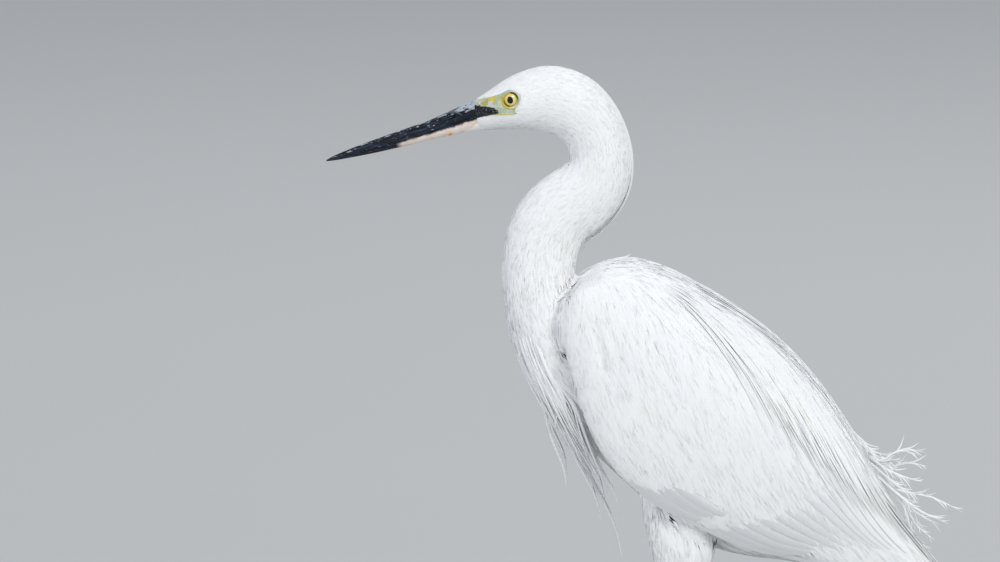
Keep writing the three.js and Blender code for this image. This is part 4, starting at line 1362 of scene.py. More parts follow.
@dataclass
class Skin:
    """One skin over the head, neck, body, wings and thighs, under the coat."""

    figure: Figure
    voxel: float = 1.7
    crease: tuple[tuple[float, float], tuple[float, float]] = ((-54.5, 326.0), (-50.5, 307.5))
    crease_span: tuple[float, float] = (-66, -38)
    crease_side: float = 26
    shoulder: Rows = ((-59, 16, 341.5, 7.5), (-66, 18, 334, 8.5), (-68.5, 19, 326, 8.5), (-68, 20, 318, 8))
    nodes: tuple[str, ...] = (
        "head", "neck_upper", "neck_middle", "neck_lower", "torso", "mantle", "tail",
        "wing_left", "wing_right", "thigh_left", "thigh_right",
    )

    def fused(self, wing_end: float) -> Shape:
        """Fuses the forms and smooths the creases between them.

        Args:
            wing_end: How far down the wings it reaches.

        Returns:
            The skin as triangles.
        """
        figure = self.figure
        parts = [figure.neck.skin(), *figure.trunk.skin(), figure.back.skin(figure.wing)]
        wing = figure.wing.skin(wing_end)
        other = wing.copy()
        bmesh.ops.scale(other, vec=(1, -1, 1), verts=other.verts)
        bmesh.ops.recalc_face_normals(other, faces=other.faces)
        parts += [wing, other, *(figure.thigh.skin(side) for side in Side)]
        for side in Side:
            for x, y, z, radius in self.shoulder:
                parts.append(ball((x, side.value * y, z), (1, 1, 1), radius, (24, 16)))
        bm = remeshed(join(parts), self.voxel)
        smoothed(bm, 4)
        bmesh.ops.triangulate(bm, faces=bm.faces)
        self.dent(bm)
        return bm

    def dent(self, bm: Shape) -> None:
        """Presses a short soft fold into the front of both wings.

        Args:
            bm: The skin.
        """
        start, end = (np.array(spot) for spot in self.crease)
        reach = end - start
        low, high = self.crease_span
        for vert in bm.verts:
            if abs(vert.co.y) < self.crease_side or not low < vert.co.x < high:
                continue
            spot = np.array((vert.co.x, vert.co.z)) - start
            share = min(max(float(spot @ reach) / float(reach @ reach), 0.0), 1.0)
            away = float(np.linalg.norm(spot - reach * share))
            side = 1 if spot @ np.array((-reach[1], reach[0])) < 0 else -1
            deep = 1.2 * math.exp(-((away / 3.2) ** 2)) - 0.5 * math.exp(-(((away * side + 6) / 4) ** 2))
            vert.co.y -= math.copysign(deep, vert.co.y)

    def build(self) -> Bed:
        """Makes the skin, and the surface that the small feathers lie on, which goes on over the long ones.

        Returns:
            The feathers' surface.
        """
        skin = self.fused(self.figure.wing.core_end)
        Builder.piece("skin", skin, Down().material(), "feather", self.nodes)
        bm = self.fused(self.figure.wing.length - 3)
        bed = Bed(bm, Lie(self.figure))
        bm.free()
        return bed


@dataclass
class Blades:
    """Many tapered blades as arrays: each one a closed body of a few rings and a tip."""

    centres: Array
    ups: Array
    halves: Array
    roots: Array
    section: Rows = ((-1, 0), (0, 0.22), (1, 0))
    soft: float = 0.6
    lean: Optional[Array] = None

    def build(self, name: str, material: Material, slot: str, rng: Random) -> None:
        """Joins the blades in one mesh with the maps and values that its finish reads.

        Args:
            name: The piece's name.
            material: Its finish.
            slot: Handed on to Builder.finish.
            rng: Draws each blade's tone.
        """
        count, rings = self.centres.shape[:2]
        body = rings - 1
        section = np.array(self.section, float)
        m = len(section)
        along = unit(np.gradient(self.centres, axis=1))
        across = unit(np.cross(along, self.ups))
        over = np.cross(across, along)
        if self.lean is not None:
            c, s = np.cos(self.lean)[:, None, None], np.sin(self.lean)[:, None, None]
            across, over = across * c + over * s, over * c - across * s
        half = self.halves[:, :body, None, None]
        wide = across[:, :body, None] * section[:, :1] * half
        high = over[:, :body, None] * section[:, 1:] * np.minimum(half, 1.0)
        corners = self.centres[:, :body, None] + wide + high
        below = (section[:, 1:] < 0) & (np.abs(section[:, :1]) < 1)
        follow = np.where(below, 0.0, self.soft)
        tilt = np.where(below, -1.0, 0.25 + section[:, 1:])
        own = unit(across[:, :body, None] * section[:, :1] + over[:, :body, None] * tilt)
        normals = unit(self.ups[:, :body, None] * follow + own * (1 - follow))
        per = body * m + 1
        verts = np.concatenate([corners.reshape(count, body * m, 3), self.centres[:, -1:]], axis=1)
        normal = np.concatenate([normals.reshape(count, body * m, 3), self.ups[:, -1:]], axis=1)
        faces = self.pattern(body, m)
        index = (faces[None] + per * np.arange(count)[:, None, None]).reshape(-1, 3)
        reach = np.concatenate([np.repeat(np.linspace(0, 1, rings)[:body], m), [1.0]])
        sideways = np.concatenate([np.tile(section[:, 0], body), [0.0]])
        length = np.linalg.norm(np.diff(self.centres, axis=1), axis=2).sum(1)
        patch = np.stack([sideways * 0.5, reach - 0.5], axis=1) * PATCH
        baked = (self.roots[:, None] + patch[None]).reshape(-1, 2)
        widths = np.concatenate([np.repeat(self.halves[:, :body], m, axis=1), np.zeros((count, 1))], axis=1)
        vane = np.stack([sideways[None] * widths, reach[None] * length[:, None]], axis=-1).reshape(-1, 2)
        mesh = bpy.data.meshes.new(name)
        points = verts.reshape(-1, 3)
        if self.inside_out(verts, faces):
            index = index[:, ::-1]
        mesh.vertices.add(len(points))
        mesh.vertices.foreach_set("co", real(points).astype(np.float32).ravel())
        mesh.loops.add(index.size)
        mesh.loops.foreach_set("vertex_index", index.astype(np.int32).ravel())
        mesh.polygons.add(len(index))
        mesh.polygons.foreach_set("loop_start", np.arange(0, index.size, 3, dtype=np.int32))
        mesh.update(calc_edges=True)
        mesh.shade_smooth()
        for title, values in (("OFBake", baked), ("Vane", vane)):
            layer = mesh.uv_layers.new(name=title)
            layer.data.foreach_set("uv", values[index.ravel()].astype(np.float32).ravel())
        tone = np.repeat(rng.random(count), per)
        for title, values in (("tone", tone), ("reach", np.tile(reach, count))):
            mesh.attributes.new(title, "FLOAT", "POINT").data.foreach_set("value", values.astype(np.float32))
        if self.soft:
            layer = mesh.attributes.new("custom_normal", "FLOAT_VECTOR", "POINT")
            layer.data.foreach_set("vector", normal.astype(np.float32).ravel())
        Builder.finish(placed(name, mesh), material, slot, ())

    @staticmethod
    def inside_out(points: Array, faces: Array) -> bool:
        """Whether the faces of closed bodies look inwards."""
        a, b, c = (points[:, faces[:, k]] - points.mean(1, keepdims=True) for k in range(3))
        return float((a * np.cross(b, c)).sum()) < 0

    @staticmethod
    def pattern(body: int, m: int) -> Array:
        """The triangles of one blade.

        Args:
            body: Rings of corners before the tip.
            m: Corners of a ring.

        Returns:
            Rows of three corner numbers.
        """
        rows = [(0, k, k + 1) for k in range(1, m - 1)]
        for ring in range(body - 1):
            for k in range(m):
                a, b = ring * m + k, ring * m + (k + 1) % m
                rows += [(a, a + m, b), (b, a + m, b + m)]
        last = (body - 1) * m
        rows += [(last + k, body * m, last + (k + 1) % m) for k in range(m)]
        return np.array(rows)


@dataclass
class Lie:
    """How the small feathers lie, known at guide spots over the bird and blended between them.

    The facts at each spot are a feather's length, half width and depth. Its tract is kept beside them.
    """

    figure: Figure
    thigh_sizes: Rows = (
        (0, 15, 1.05, 0.8), (0.5, 12, 0.95, 0.7), (0.75, 7.5, 0.75, 0.5), (0.9, 4.5, 0.55, 0.35),
    )
    belly_size: Sequence[float] = (19, 1.1, 0.85)
    back_size: Sequence[float] = (20, 1.05, 0.55)
    wing_flow: Rows = ((-6, 84), (20, 74), (60, 66), (110, 66), (160, 61), (200, 52), (240, 44))
    neck_sizes: Rows = (
        (0, 2.8, 0.42, 0.22), (2, 3.8, 0.5, 0.26), (5, 7, 0.68, 0.32), (9, 9.5, 0.75, 0.38),
        (13, 13, 0.85, 0.45), (17, 19, 1, 0.7),
    )
    wing_sizes: Rows = ((12, 0.85, 0.36), (22, 1.05, 0.42), (34, 1.15, 0.6))

    def __post_init__(self) -> None:
        """Sets the guides over the neck, trunk, wings, back and thighs."""
        self.spots, self.flows, self.facts, self.tracts = [], [], [], []
        self.guide_neck()
        self.guide_trunk()
        self.guide_wings()
        self.guide_back()
        self.guide_thighs()
        self.spots, self.flows = np.concatenate(self.spots), unit(np.concatenate(self.flows))
        self.facts, self.tracts = np.concatenate(self.facts), np.concatenate(self.tracts)

    def add(self, spots: Array, flows: Array, facts: Array, tract: Tract) -> None:
        """Adds guides.

        Args:
            spots: Places.
            flows: Directions from root to tip.
            facts: Length, half width and depth at each.
            tract: Their tract.
        """
        spots = spots.reshape(-1, 3)
        self.spots.append(spots)
        self.flows.append(np.broadcast_to(flows, spots.shape))
        self.facts.append(np.broadcast_to(facts, (len(spots), 3)))
        self.tracts.append(np.full(len(spots), tract.number))

    def guide_neck(self) -> None:
        """Feathers run back from the bill over the head and down the neck."""
        neck = self.figure.neck
        sizes = Profile(self.neck_sizes)
        turns = circle(10)
        for station in np.arange(0, 16.6, 0.5):
            tract = Tract.FACE if station < 5 else Tract.NECK if station < 13 else Tract.BREAST
            spots = neck.on(station, turns)
            flow = neck.line.heading(station / neck.last)[0]
            hang = smoothstep(station, 13, 16.5) * np.clip(-np.cos(turns), 0, 1)[:, None]
            self.add(spots, unit(flow + (downhill(60) - flow) * hang), sizes(station), tract)

    def guide_trunk(self) -> None:
        """Feathers run back along the belly to the tail."""
        turns = np.linspace(math.pi * 0.55, math.pi * 1.45, 9)
        for along in np.arange(8, 215, 12):
            spots = self.figure.trunk.on(along, turns)
            flow = on_body(1, -0.15) - on_body(0, 0)
            self.add(spots, flow, self.belly_size, Tract.BELLY)

    def guide_wings(self) -> None:
        """Barbs of the wing run steeply down across it, and along it at its lower edge."""
        steep = Profile(self.wing_flow)
        front, middle, rear = (np.array(size) for size in self.wing_sizes)
        for along in np.arange(-4, 285, 11):
            for share in np.linspace(-0.95, 0.95, 10):
                spot = self.figure.wing.on(along, share)
                angle = float(steep(along)[0])
                angle = float(lerp(angle, 43, smoothstep(share, 0.3, 0.85)))
                angle = float(lerp(angle, 38, smoothstep(-share, 0.55, 0.95) * smoothstep(along, 40, 90)))
                size = lerp(front, middle, smoothstep(along, 0, 50))
                size = lerp(size, rear, smoothstep(along - 40 * share, 120, 190))
                for side in Side:
                    tract = Tract.WING_LEFT if side is Side.LEFT else Tract.WING_RIGHT
                    self.add(spot * side.from_left, downhill(angle), size, tract)

    def guide_back(self) -> None:
        """Feathers run straight down the back."""
        for along in np.arange(5, 200, 11):
            wide = float(self.figure.back.size(along)[1])
            spots = self.figure.back.on(self.figure.wing, along, np.linspace(-0.9, 0.9, 5) * wide)
            self.add(spots, on_body(1, 0) - on_body(0, 0), self.back_size, Tract.BACK)

    def guide_thighs(self) -> None:
        """Feathers run down the thighs, shorter towards the bare shin."""
        thigh = self.figure.thigh
        sizes = Profile(self.thigh_sizes)
        turns = circle(8)
        for side in Side:
            for share in np.linspace(0.1, 0.9, 12):
                flow = thigh.line.heading(share)[0] * side.from_right + np.array((0.12, 0, 0))
                self.add(thigh.on(share, turns, 0.0, side), flow, sizes(share), Tract.THIGHS)

    def at(self, points: Array) -> tuple[Array, Array, Array]:
        """Directions, sizes and tracts at places.

        Args:
            points: Places in millimetres.

        Returns:
            The direction, the facts and the number of the nearest guide's tract at each.
        """
        flows, facts, tracts = [], [], []
        for part in np.array_split(points, max(1, len(points) // 4000)):
            square = ((part[:, None] - self.spots[None]) ** 2).sum(-1)
            weight = 1 / (square + 9) ** 2.5
            total = weight.sum(1, keepdims=True)
            flows.append(weight @ self.flows / total)
            facts.append(weight @ self.facts / total)
            tracts.append(self.tracts[square.argmin(1)])
        return unit(np.concatenate(flows)), np.concatenate(facts), np.concatenate(tracts)


@dataclass
class Coat:
    """The small feathers: soft blades that follow the lie of the plumage, fine ones among broad ones."""

    figure: Figure
    bed: Bed
    cover: float = 12.5
    quick_share: float = 0.3
    blade_share: float = 0.6
    fine_share: float = 0.5
    steps: int = 3
    seed: int = 5
    clearance: float = 4.5
    shin: float = 159
    last: float = 236
    section: Sequence[float] = (0.75, 1.0, 0.66)
    uncovered: Rows = (
        (40, -1), (60, -0.92), (90, -0.85), (130, -0.74), (165, -0.6), (190, -0.4), (215, 0.1), (236, 1),
    )

    def roots(self, rng: Random) -> tuple[Array, Array]:
        """Spreads the feathers' roots over the surface, denser where they are small.

        Args:
            rng: The draw.

        Returns:
            The places, and the number of each one's tract.
        """
        corners = self.bed.corners[self.bed.faces]
        crossed = np.cross(corners[:, 1] - corners[:, 0], corners[:, 2] - corners[:, 0])
        area = np.linalg.norm(crossed, axis=1) / 2
        facts = self.bed.facts[self.bed.faces].mean(1)
        cover = self.cover * 1.0
        expected = area * cover / (facts[:, 0] * facts[:, 1] * 2 * self.blade_share)
        total = expected.cumsum()
        count = int(total[-1])
        chosen = np.searchsorted(total, (np.arange(count) + rng.random(count)) / count * total[-1])
        chosen = np.minimum(chosen, len(area) - 1)
        u, v = rng.random(count), rng.random(count)
        over = u + v > 1
        u[over], v[over] = 1 - u[over], 1 - v[over]
        a, b, c = (corners[chosen, k] for k in range(3))
        return a + (b - a) * u[:, None] + (c - a) * v[:, None], self.bed.tracts[self.bed.faces[chosen, 0]]

    def kept(self, roots: Array, rng: Random) -> Array:
        """Which roots stay: none on the bare face or shin, before the bill's root, or on the long feathers.

        Args:
            roots: Places on the surface.
            rng: Frays the edges.

        Returns:
            True for each one that stays.
        """
        bare = Face.covers(roots[:, 0], roots[:, 2]) & (np.abs(roots[:, 1]) > 3.5)
        before = roots[:, 0] < Bill.root_x - 0.6
        low = roots[:, 2] < self.shin
        along, above = to_body(roots)
        size, arc = self.figure.wing.size(along), self.figure.wing.arc
        upper, lower, wide, edge = (size[..., k] for k in (0, 1, 2, 4))
        rise = (above - (upper + lower) / 2) / (upper - lower) * 2 * math.sin(arc)
        share = np.arcsin(np.clip(rise, -1, 1)) / arc
        away = np.abs(roots[:, 1])
        winged = (away > np.minimum(edge, wide) - 6) & (along > 45) & (above > lower - 3)
        limit = Profile(self.uncovered)(along)[..., 0] + 0.1 * rng.standard_normal(len(roots))
        tucked = (along > 176) & (away < edge - 1) & (share < limit + 0.3)
        return ~(bare | before | low | (winged & (share < limit)) | tucked | (along > self.last))

    def build(self) -> None:
        """Grows every tract, each as a piece of its own."""
        rng = np.random.default_rng(self.seed)
        roots, tracts = self.roots(rng)
        stay = self.kept(roots, rng)
        roots, tracts = roots[stay], tracts[stay]
        count = len(roots)
        spots, normals, flow, facts = self.bed.nearest(roots)
        fine = (rng.random(count) < self.fine_share)[:, None]
        size = drawn(rng, 0.75, 1.25, count)
        sway = 0.14 * rng.standard_normal((count, 1))
        rise = np.where(fine, drawn(rng, 0.7, 1.1, count), drawn(rng, 0.35, 0.75, count))
        centres, ups = [spots - normals * 0.5], [normals]
        place = spots
        for step in range(1, self.steps + 1):
            flow = unit(flow - normals * (flow * normals).sum(1, keepdims=True))
            bend = np.cross(flow, normals) * sway * (step / self.steps)
            place = place + unit(flow + bend) * facts[:, :1] * size / self.steps
            place, normals, flow, now = self.bed.nearest(place)
            centres.append(place + normals * now[:, 2:3] * rise * (1 - (1 - step / self.steps) ** 1.7))
            ups.append(normals)
        centres, ups = np.stack(centres, axis=1), np.stack(ups, axis=1)
        tracts = np.where(self.free(spots, centres, ups, flow), tracts, -1)
        broad = np.where(fine, drawn(rng, 0.22, 0.45, count), drawn(rng, 0.85, 1.4, count))
        halves = facts[:, 1:2] * np.array(self.section)[None] * broad
        maps = self.unwrap(spots, tracts)
        finish = Plumage().material()
        for number, tract in enumerate(Tract):
            mine = np.flatnonzero(tracts == number)
            pieces = max(1, math.ceil(len(mine) * (6 * self.steps - 2) / PIECE_TRIANGLES))
            for k, part in enumerate(np.array_split(mine, pieces)):
                name = f"coat_{tract.value}" + (f"_{k + 1}" if pieces > 1 else "")
                blades = Blades(centres[part], ups[part], halves[part], maps[part], soft=0.85)
                blades.build(name, finish, "feather", rng)

    def free(self, spots: Array, centres: Array, ups: Array, flow: Array) -> Array:
        """Which feathers lie straight and aren't shut in a crease.

        Args:
            spots: Their roots on the surface.
            centres: Their middle lines.
            ups: The ways out along them.
            flow: Which way they lie at their tips.

        Returns:
            True for each one that may stay.
        """
        steps = unit(np.diff(centres, axis=1))
        free = (ups * ups[:, :1]).sum(-1).min(1) > 0.6
        free &= (steps[:, 1:] * steps[:, 1:2]).sum(-1).min(1) > 0.7
        free &= (steps * flow[:, None]).sum(-1).min(1) > 0.3
        cast = self.bed.tree.ray_cast
        for place, way in ((spots, ups[:, 0]), (centres[:, 2], ups[:, 2]), (centres[:, -1], ups[:, -1])):
            rays = zip((place + way * 0.8).tolist(), way.tolist())
            free &= np.array([cast(start, heading, self.clearance)[0] is None for start, heading in rays])
        return free

    def unwrap(self, spots: Array, tracts: Array) -> Array:
        """Lays the skin out flat: along the neck, the body or the thigh, and round it.

        Args:
            spots: Places on the skin.
            tracts: The tract's number of each.

        Returns:
            A place between 0 and 1 both ways for each.
        """
        neck = self.figure.neck
        station = np.linspace(0, neck.last, 240)
        middle = neck.line.at(station / neck.last)
        flat = np.empty((len(spots), 2))
        necked = np.isin(tracts, [tract.number for tract in (Tract.FACE, Tract.NECK, Tract.BREAST)])
        nearest = np.concatenate(
            [((p[:, None] - middle[None]) ** 2).sum(-1).argmin(1) for p in np.array_split(spots[necked], 40)]
        )
        heading = neck.line.heading(station[nearest] / neck.last)
        back = unit(np.cross(heading, SIDEWAYS))
        away = spots[necked] - middle[nearest]
        turn = np.arctan2(away[:, 1], (away * back).sum(1))
        flat[necked] = np.stack([station[nearest] / neck.last, turn / (2 * math.pi) + 0.5], axis=1)
        along, above = to_body(spots[~necked])
        turn = np.arctan2(spots[~necked][:, 1], above - 2)
        flat[~necked] = np.stack([body_share(along), turn / (2 * math.pi) + 0.5], axis=1)
        legs = tracts == Tract.THIGHS.number
        turn = np.arctan2(np.abs(spots[legs][:, 1]) - 18.5, spots[legs][:, 0] + 9) / (2 * math.pi) + 0.5
        half = np.where(spots[legs][:, 1] < 0, 0.0, 0.5)
        flat[legs] = np.stack([(spots[legs][:, 2] - 150) / 130, half + 0.48 * turn], axis=1)
        return np.clip(flat, *MAP_EDGES)


@dataclass
class Face:
    """The bare skin from the bill to behind the eye, with the lids and the corner of the mouth."""

    figure: Figure
    side: Side
    outline: Rows = (
        (-117.6, 442.2), (-115.3, 442.8), (-113.2, 443.2), (-110.5, 443.8), (-108.2, 444.6), (-105.2, 445.6),
        (-102.7, 447.1), (-99.7, 448.2), (-96.7, 447.6), (-93.7, 445.4), (-94.5, 442.8), (-95.4, 440.8),
        (-97.0, 438.3), (-97.2, 437.2), (-96.4, 436.0), (-99.6, 435.5), (-104.8, 435.2), (-110, 434.5),
        (-117.8, 432.5), (-118.2, 438),
    )
    opening: float = 3.62
    rays: int = 96
    rings: int = 26

    @classmethod
    def covers(cls, x: Array, z: Array, grow: float = 0.15) -> Array:
        """Whether places seen from the side lie on the bare skin.

        Args:
            x: Places along X.
            z: Heights.
            grow: How far past the outline still counts.

        Returns:
            True for each place inside.
        """
        points = np.array(cls.outline)
        middle = points.mean(0)
        points = middle + (points - middle) * (1 + grow / 8)
        inside = np.zeros(np.shape(x), bool)
        for (ax, az), (bx, bz) in zip(points, np.roll(points, -1, axis=0)):
            crosses = ((az > z) != (bz > z)) & (x < (bx - ax) * (z - az) / (bz - az + 1e-12) + ax)
            inside ^= crosses
        return inside

    def reach(self, turn: Array) -> Array:
        """How far the outline is from the eye's axis in each direction.

        Args:
            turn: Directions in the plane of X and Z.

        Returns:
            The distances.
        """
        points = np.array(self.outline) - np.array((EYE_CENTRE[0], EYE_CENTRE[2]))
        steps = np.linspace(0, 1, 20, endpoint=False)[:, None]
        dense = np.concatenate([a + (b - a) * steps for a, b in zip(points, np.roll(points, -1, axis=0))])
        angles = np.arctan2(dense[:, 1], dense[:, 0])
        order = np.argsort(angles)
        return np.interp(turn, angles[order], np.hypot(*dense[order].T), period=2 * math.pi)

    def build(self) -> None:
        """Makes the skin round the eye, with raised lids, and the gape."""
        turn = np.linspace(-math.pi, math.pi, self.rays, endpoint=False)[None, :]
        share = np.linspace(0, 1, self.rings)[:, None] ** 1.35
        outer = self.reach(turn)
        lid = self.opening * (1 + 0.055 * np.sin(turn) ** 2)
        away = lid + (outer - lid) * share
        x = EYE_CENTRE[0] + away * np.cos(turn)
        z = EYE_CENTRE[2] + away * np.sin(turn)
        flat = self.figure.neck.side_at(x, z)
        bulge = np.sqrt(np.clip(Eye.radius**2 - (away * np.ones_like(turn)) ** 2, 0, None)) + EYE_CENTRE[1]
        near = smoothstep(away, 5.6, 4.0)
        out = lerp(flat, np.maximum(flat, bulge + 0.12), near)
        out = out + 0.42 * hump(away - lid, 0.75, 0.5) - 0.12 * hump(away - lid, 2.0, 0.6)
        out = out - 0.5 * smoothstep(share, 0.86, 1.0)
        folds = np.vectorize(self.fold)(x, z)
        out = out + 0.14 * folds * smoothstep(share, 0.1, 0.4) * smoothstep(share, 1.0, 0.9)
        sign = self.side.value
        top = np.stack([x, sign * out, z], axis=-1)
        under = top[::-1] - np.array((0, sign * 1.1, 0))
        inner = top[:1] - np.array((0, sign * 0.5, 0))
        rings = np.concatenate([inner, top, under])
        bm = shell(np.concatenate([rings, rings[:1]]), closed=False)
        name = self.side.label
        finish = BareSkin(f"bare_skin_{name}").material()
        Builder.piece(f"face_skin_{name}", bm, finish, "bare_skin", [f"face_{name}"])
        self.build_gape()

    @staticmethod
    def fold(x: float, z: float) -> float:
        """The height of the skin's low folds at a place seen from the side."""
        return noise.noise(Vector((x * 0.8, 3.1, z * 1.6)))

    def build_gape(self) -> None:
        """Makes the soft yellow edge at the corner of the mouth."""
        neck = self.figure.neck
        x = np.linspace(-117.4, -96.0, 60)
        z = 435.75 - 0.014 * np.minimum(x + 104, 0) ** 2 + 0.1 * np.maximum(x + 100, 0)
        y = self.side.value * (neck.side_at(x, z) - 0.02)
        line = Line(np.stack([x, y, z], axis=1))
        turn = circle(14)[None, :, None]
        share = np.linspace(0, 1, 60)
        radius = (0.2 + 0.24 * np.sin(math.pi * share**0.9) ** 0.7)[:, None, None]
        bow = np.cos(turn) * SIDEWAYS + np.sin(turn) * np.array((0.1, 0, 1))
        rings = line.at(share)[:, None] + radius * bow
        finish = Gape(f"gape_skin_{self.side.label}").material()
        Builder.piece(f"gape_{self.side.label}", shell(rings), finish, "bare_skin")


@dataclass
class Eye:
    """A round eye, set deep in the head."""

    side: Side
    radius: float = 5.2

    def build(self) -> None:
        """Turns a fine ball with a slightly fuller front."""
        polar = np.linspace(0.02, math.pi - 0.02, 40)[:, None]
        turn = circle(56)[None, :]
        front = self.radius * (1 + 0.035 * smoothstep(np.cos(polar), 0.62, 0.95))
        front = front * (1 - 0.1 * smoothstep(np.cos(polar), 0.7, 0.45))
        sign = self.side.value
        x = EYE_CENTRE[0] + front * np.sin(polar) * np.cos(turn)
        y = sign * (EYE_CENTRE[1] + front * np.cos(polar)) + 0 * turn
        z = EYE_CENTRE[2] + front * np.sin(polar) * np.sin(turn)
        bm = shell(np.stack([x, y, z], axis=-1))
        name = self.side.label
        Builder.piece(f"eyeball_{name}", bm, Iris(f"iris_{name}").material(), "iris", [f"eye_{name}"])


class Bill:
    """The dagger bill in two halves along the line of the mouth."""

    root_x = -116.8
    root_z = 434.2
    length = 82.6
    slope = math.radians(17.3)
    sag = 1.1
    gap = 0.12
    buried = 0.03
    stations: Rows = (
        (0, 7.9, 8.4, 5.9), (0.1, 6.8, 7, 5.5), (0.3, 5.3, 4.9, 4.5), (0.5, 4.8, 3.7, 3.6),
        (0.7, 3.9, 2.6, 2.7), (0.85, 2.7, 1.6, 1.8), (0.95, 1.45, 0.85, 1), (1, 0.35, 0.3, 0.35),
    )

    def __init__(self) -> None:
        """Works out the line of the mouth."""
        self.size = Profile(self.stations)
        self.ahead = np.array((-math.cos(self.slope), 0, -math.sin(self.slope)))
        root = np.array((self.root_x, 0, self.root_z))
        self.ends = np.array((root, root + self.length * self.ahead))

    def line(self, share: Array) -> Array:
        """Places along the line of the mouth.

        Args:
            share: From the root, 0, to the tip, 1.

        Returns:
            The places.
        """
        share = np.asarray(share, float)[:, None]
        drop = np.array((0, 0, -2 * self.sag))
        middle = self.ends.mean(0) + drop
        return self.ends[0] * (1 - share) ** 2 + 2 * middle * share * (1 - share) + self.ends[1] * share**2

    def half(self, upper: bool) -> Shape:
        """One half of the bill, with the groove of the nostril on the upper one.

        Args:
            upper: Whether it is the upper half.

        Returns:
            The shape.
        """
        share = np.linspace(-self.buried, 1, 150)
        inside = np.clip(share, 0, 1)
        size = self.size(inside)
        deep = size[:, 0 if upper else 1][:, None]
        wide = size[:, 2][:, None] * (1 if upper else 0.965)
        base = self.line(inside) + np.outer(np.minimum(share, 0) * self.length, self.ahead)
        turn = np.linspace(0, math.pi, 45)[None, :]
        bulge = 0.86 if upper else 0.9
        side = np.sign(np.cos(turn)) * np.abs(np.cos(turn)) ** bulge
        rise = np.sin(turn)
        pull = np.zeros_like(side * deep)
        height = rise + 0 * deep
        if upper:
            fade = smoothstep(inside, 0.62, 0.3)[:, None]
            pull += 0.62 * fade * hump(height, 0.56, 0.1)
            slot = smoothstep(inside, 0.055, 0.075)[:, None] * smoothstep(inside, 0.185, 0.16)[:, None]
            pull += 1.5 * slot * hump(height, 0.54, 0.07)
        else:
            fade = smoothstep(inside, 0.7, 0.2)[:, None]
            pull += 0.25 * fade * hump(height, 0.3, 0.12)
        y = np.sign(side) * np.maximum(np.abs(side * wide) - pull, 0.02 * wide)
        up = np.array((-math.sin(self.slope), 0, math.cos(self.slope))) * (1 if upper else -1)
        floor = self.gap / 2
        aside = np.stack([0 * y, y, 0 * y], axis=-1)
        arch = base[:, None] + up * (floor + rise * (deep - floor))[..., None] + aside
        across = np.linspace(-1, 1, 14)[1:-1][None, :]
        roof = base[:, None] + up * (floor + 0.1 * (1 - across**2) * deep)[..., None]
        roof = roof + np.stack([0 * across * wide, across * wide, 0 * across * wide], axis=-1)
        return shell(np.concatenate([arch, roof], axis=1))

    def build(self) -> None:
        """Makes both halves."""
        upper, lower = Horn("upper_horn").material(), Horn("lower_horn", pale_below=True).material()
        Builder.piece("bill_upper_horn", self.half(True), upper, "upper_bill", ["bill_upper"])
        Builder.piece("bill_lower_horn", self.half(False), lower, "lower_bill", ["bill_lower"])


@dataclass(frozen=True)
class Tier:
    """One tier of the folded wing's long feathers, from the uppermost to the lowest."""

    count: int
    root: tuple[float, float]
    tip: tuple[float, float]
    root_share: tuple[float, float]
    tip_share: tuple[float, float]
    lift: tuple[float, float]
    half: float
    tilt: float


@dataclass
class Wings:
    """The long feathers of both folded wings."""

    figure: Figure
    coverts: Tier = Tier(6, (56, 48), (134, 112), (-0.4, -0.7), (-0.5, -0.76), (-2.6, -0.75), 6.0, 5)
    secondaries: Tier = Tier(14, (92, 80), (226, 172), (0.74, -0.72), (0.5, -0.74), (-3.2, -0.9), 6.2, 6)
    primaries: Tier = Tier(10, (146, 124), (287, 208), (0.3, -0.74), (0.25, -0.7), (-4.2, -1.3), 5.0, 7)
    tip_profile: Rows = ((0, 0.5), (0.25, 0.9), (0.5, 1), (0.78, 0.98), (0.92, 0.72), (1, 0.3))
    rings: int = 20
    section: Rows = (
        (-1, -0.12), (-0.8, 0.04), (-0.55, 0.14), (-0.3, 0.2), (-0.08, 0.24), (0, 0.42), (0.08, 0.24),
        (0.3, 0.2), (0.55, 0.14), (0.8, 0.04), (1, -0.12), (0.55, -0.1), (0, -0.04), (-0.55, -0.1),
    )

    def feathers(self, tier: Tier, rng: Random) -> tuple[Array, ...]:
        """The middle lines of one tier.

        Args:
            tier: The tier.
            rng: Draws small differences.

        Returns:
            Centres, ways out, half widths and leans of its feathers.
        """
        f = np.linspace(0, 1, tier.count)[:, None]
        u = np.linspace(0, 1, self.rings)[None, :]
        start = lerp(*tier.root, f)
        end = lerp(*tier.tip, f) + 1.5 * rng.standard_normal((tier.count, 1))
        last = lerp(*tier.tip_share, f) + 0.012 * rng.standard_normal((tier.count, 1))
        share = lerp(lerp(*tier.root_share, f), last, u)
        lift = lerp(*tier.lift, smoothstep(u, 0, 0.75)) + 0 * f
        centres, ups = self.figure.wing.out(lerp(start, end, u), share, lift)
        halves = tier.half * Profile(self.tip_profile)(u)[..., 0] * drawn(rng, 0.94, 1.06, tier.count)
        return centres, ups, halves, np.full(tier.count, math.radians(tier.tilt))

    def build(self) -> None:
        """Makes the tiers of both wings."""
        finish = Vaned().material()
        for side in Side:
            rng = np.random.default_rng(31)
            made = [self.feathers(t, rng) for t in (self.primaries, self.secondaries, self.coverts)]
            centres, ups, halves, leans = (np.concatenate([m[k] for m in made]) for k in range(4))
            mirror = side.from_left
            along, above = to_body(centres[:, 0])
            roots = np.stack([body_share(along), 0.5 + side.value * (0.25 + above / 400)], axis=1)
            leans = -side.value * leans
            blades = Blades(centres * mirror, ups * mirror, halves, roots, self.section, 0.6, leans)
            blades.build(f"flight_feathers_{side.label}", finish, "feather", rng)


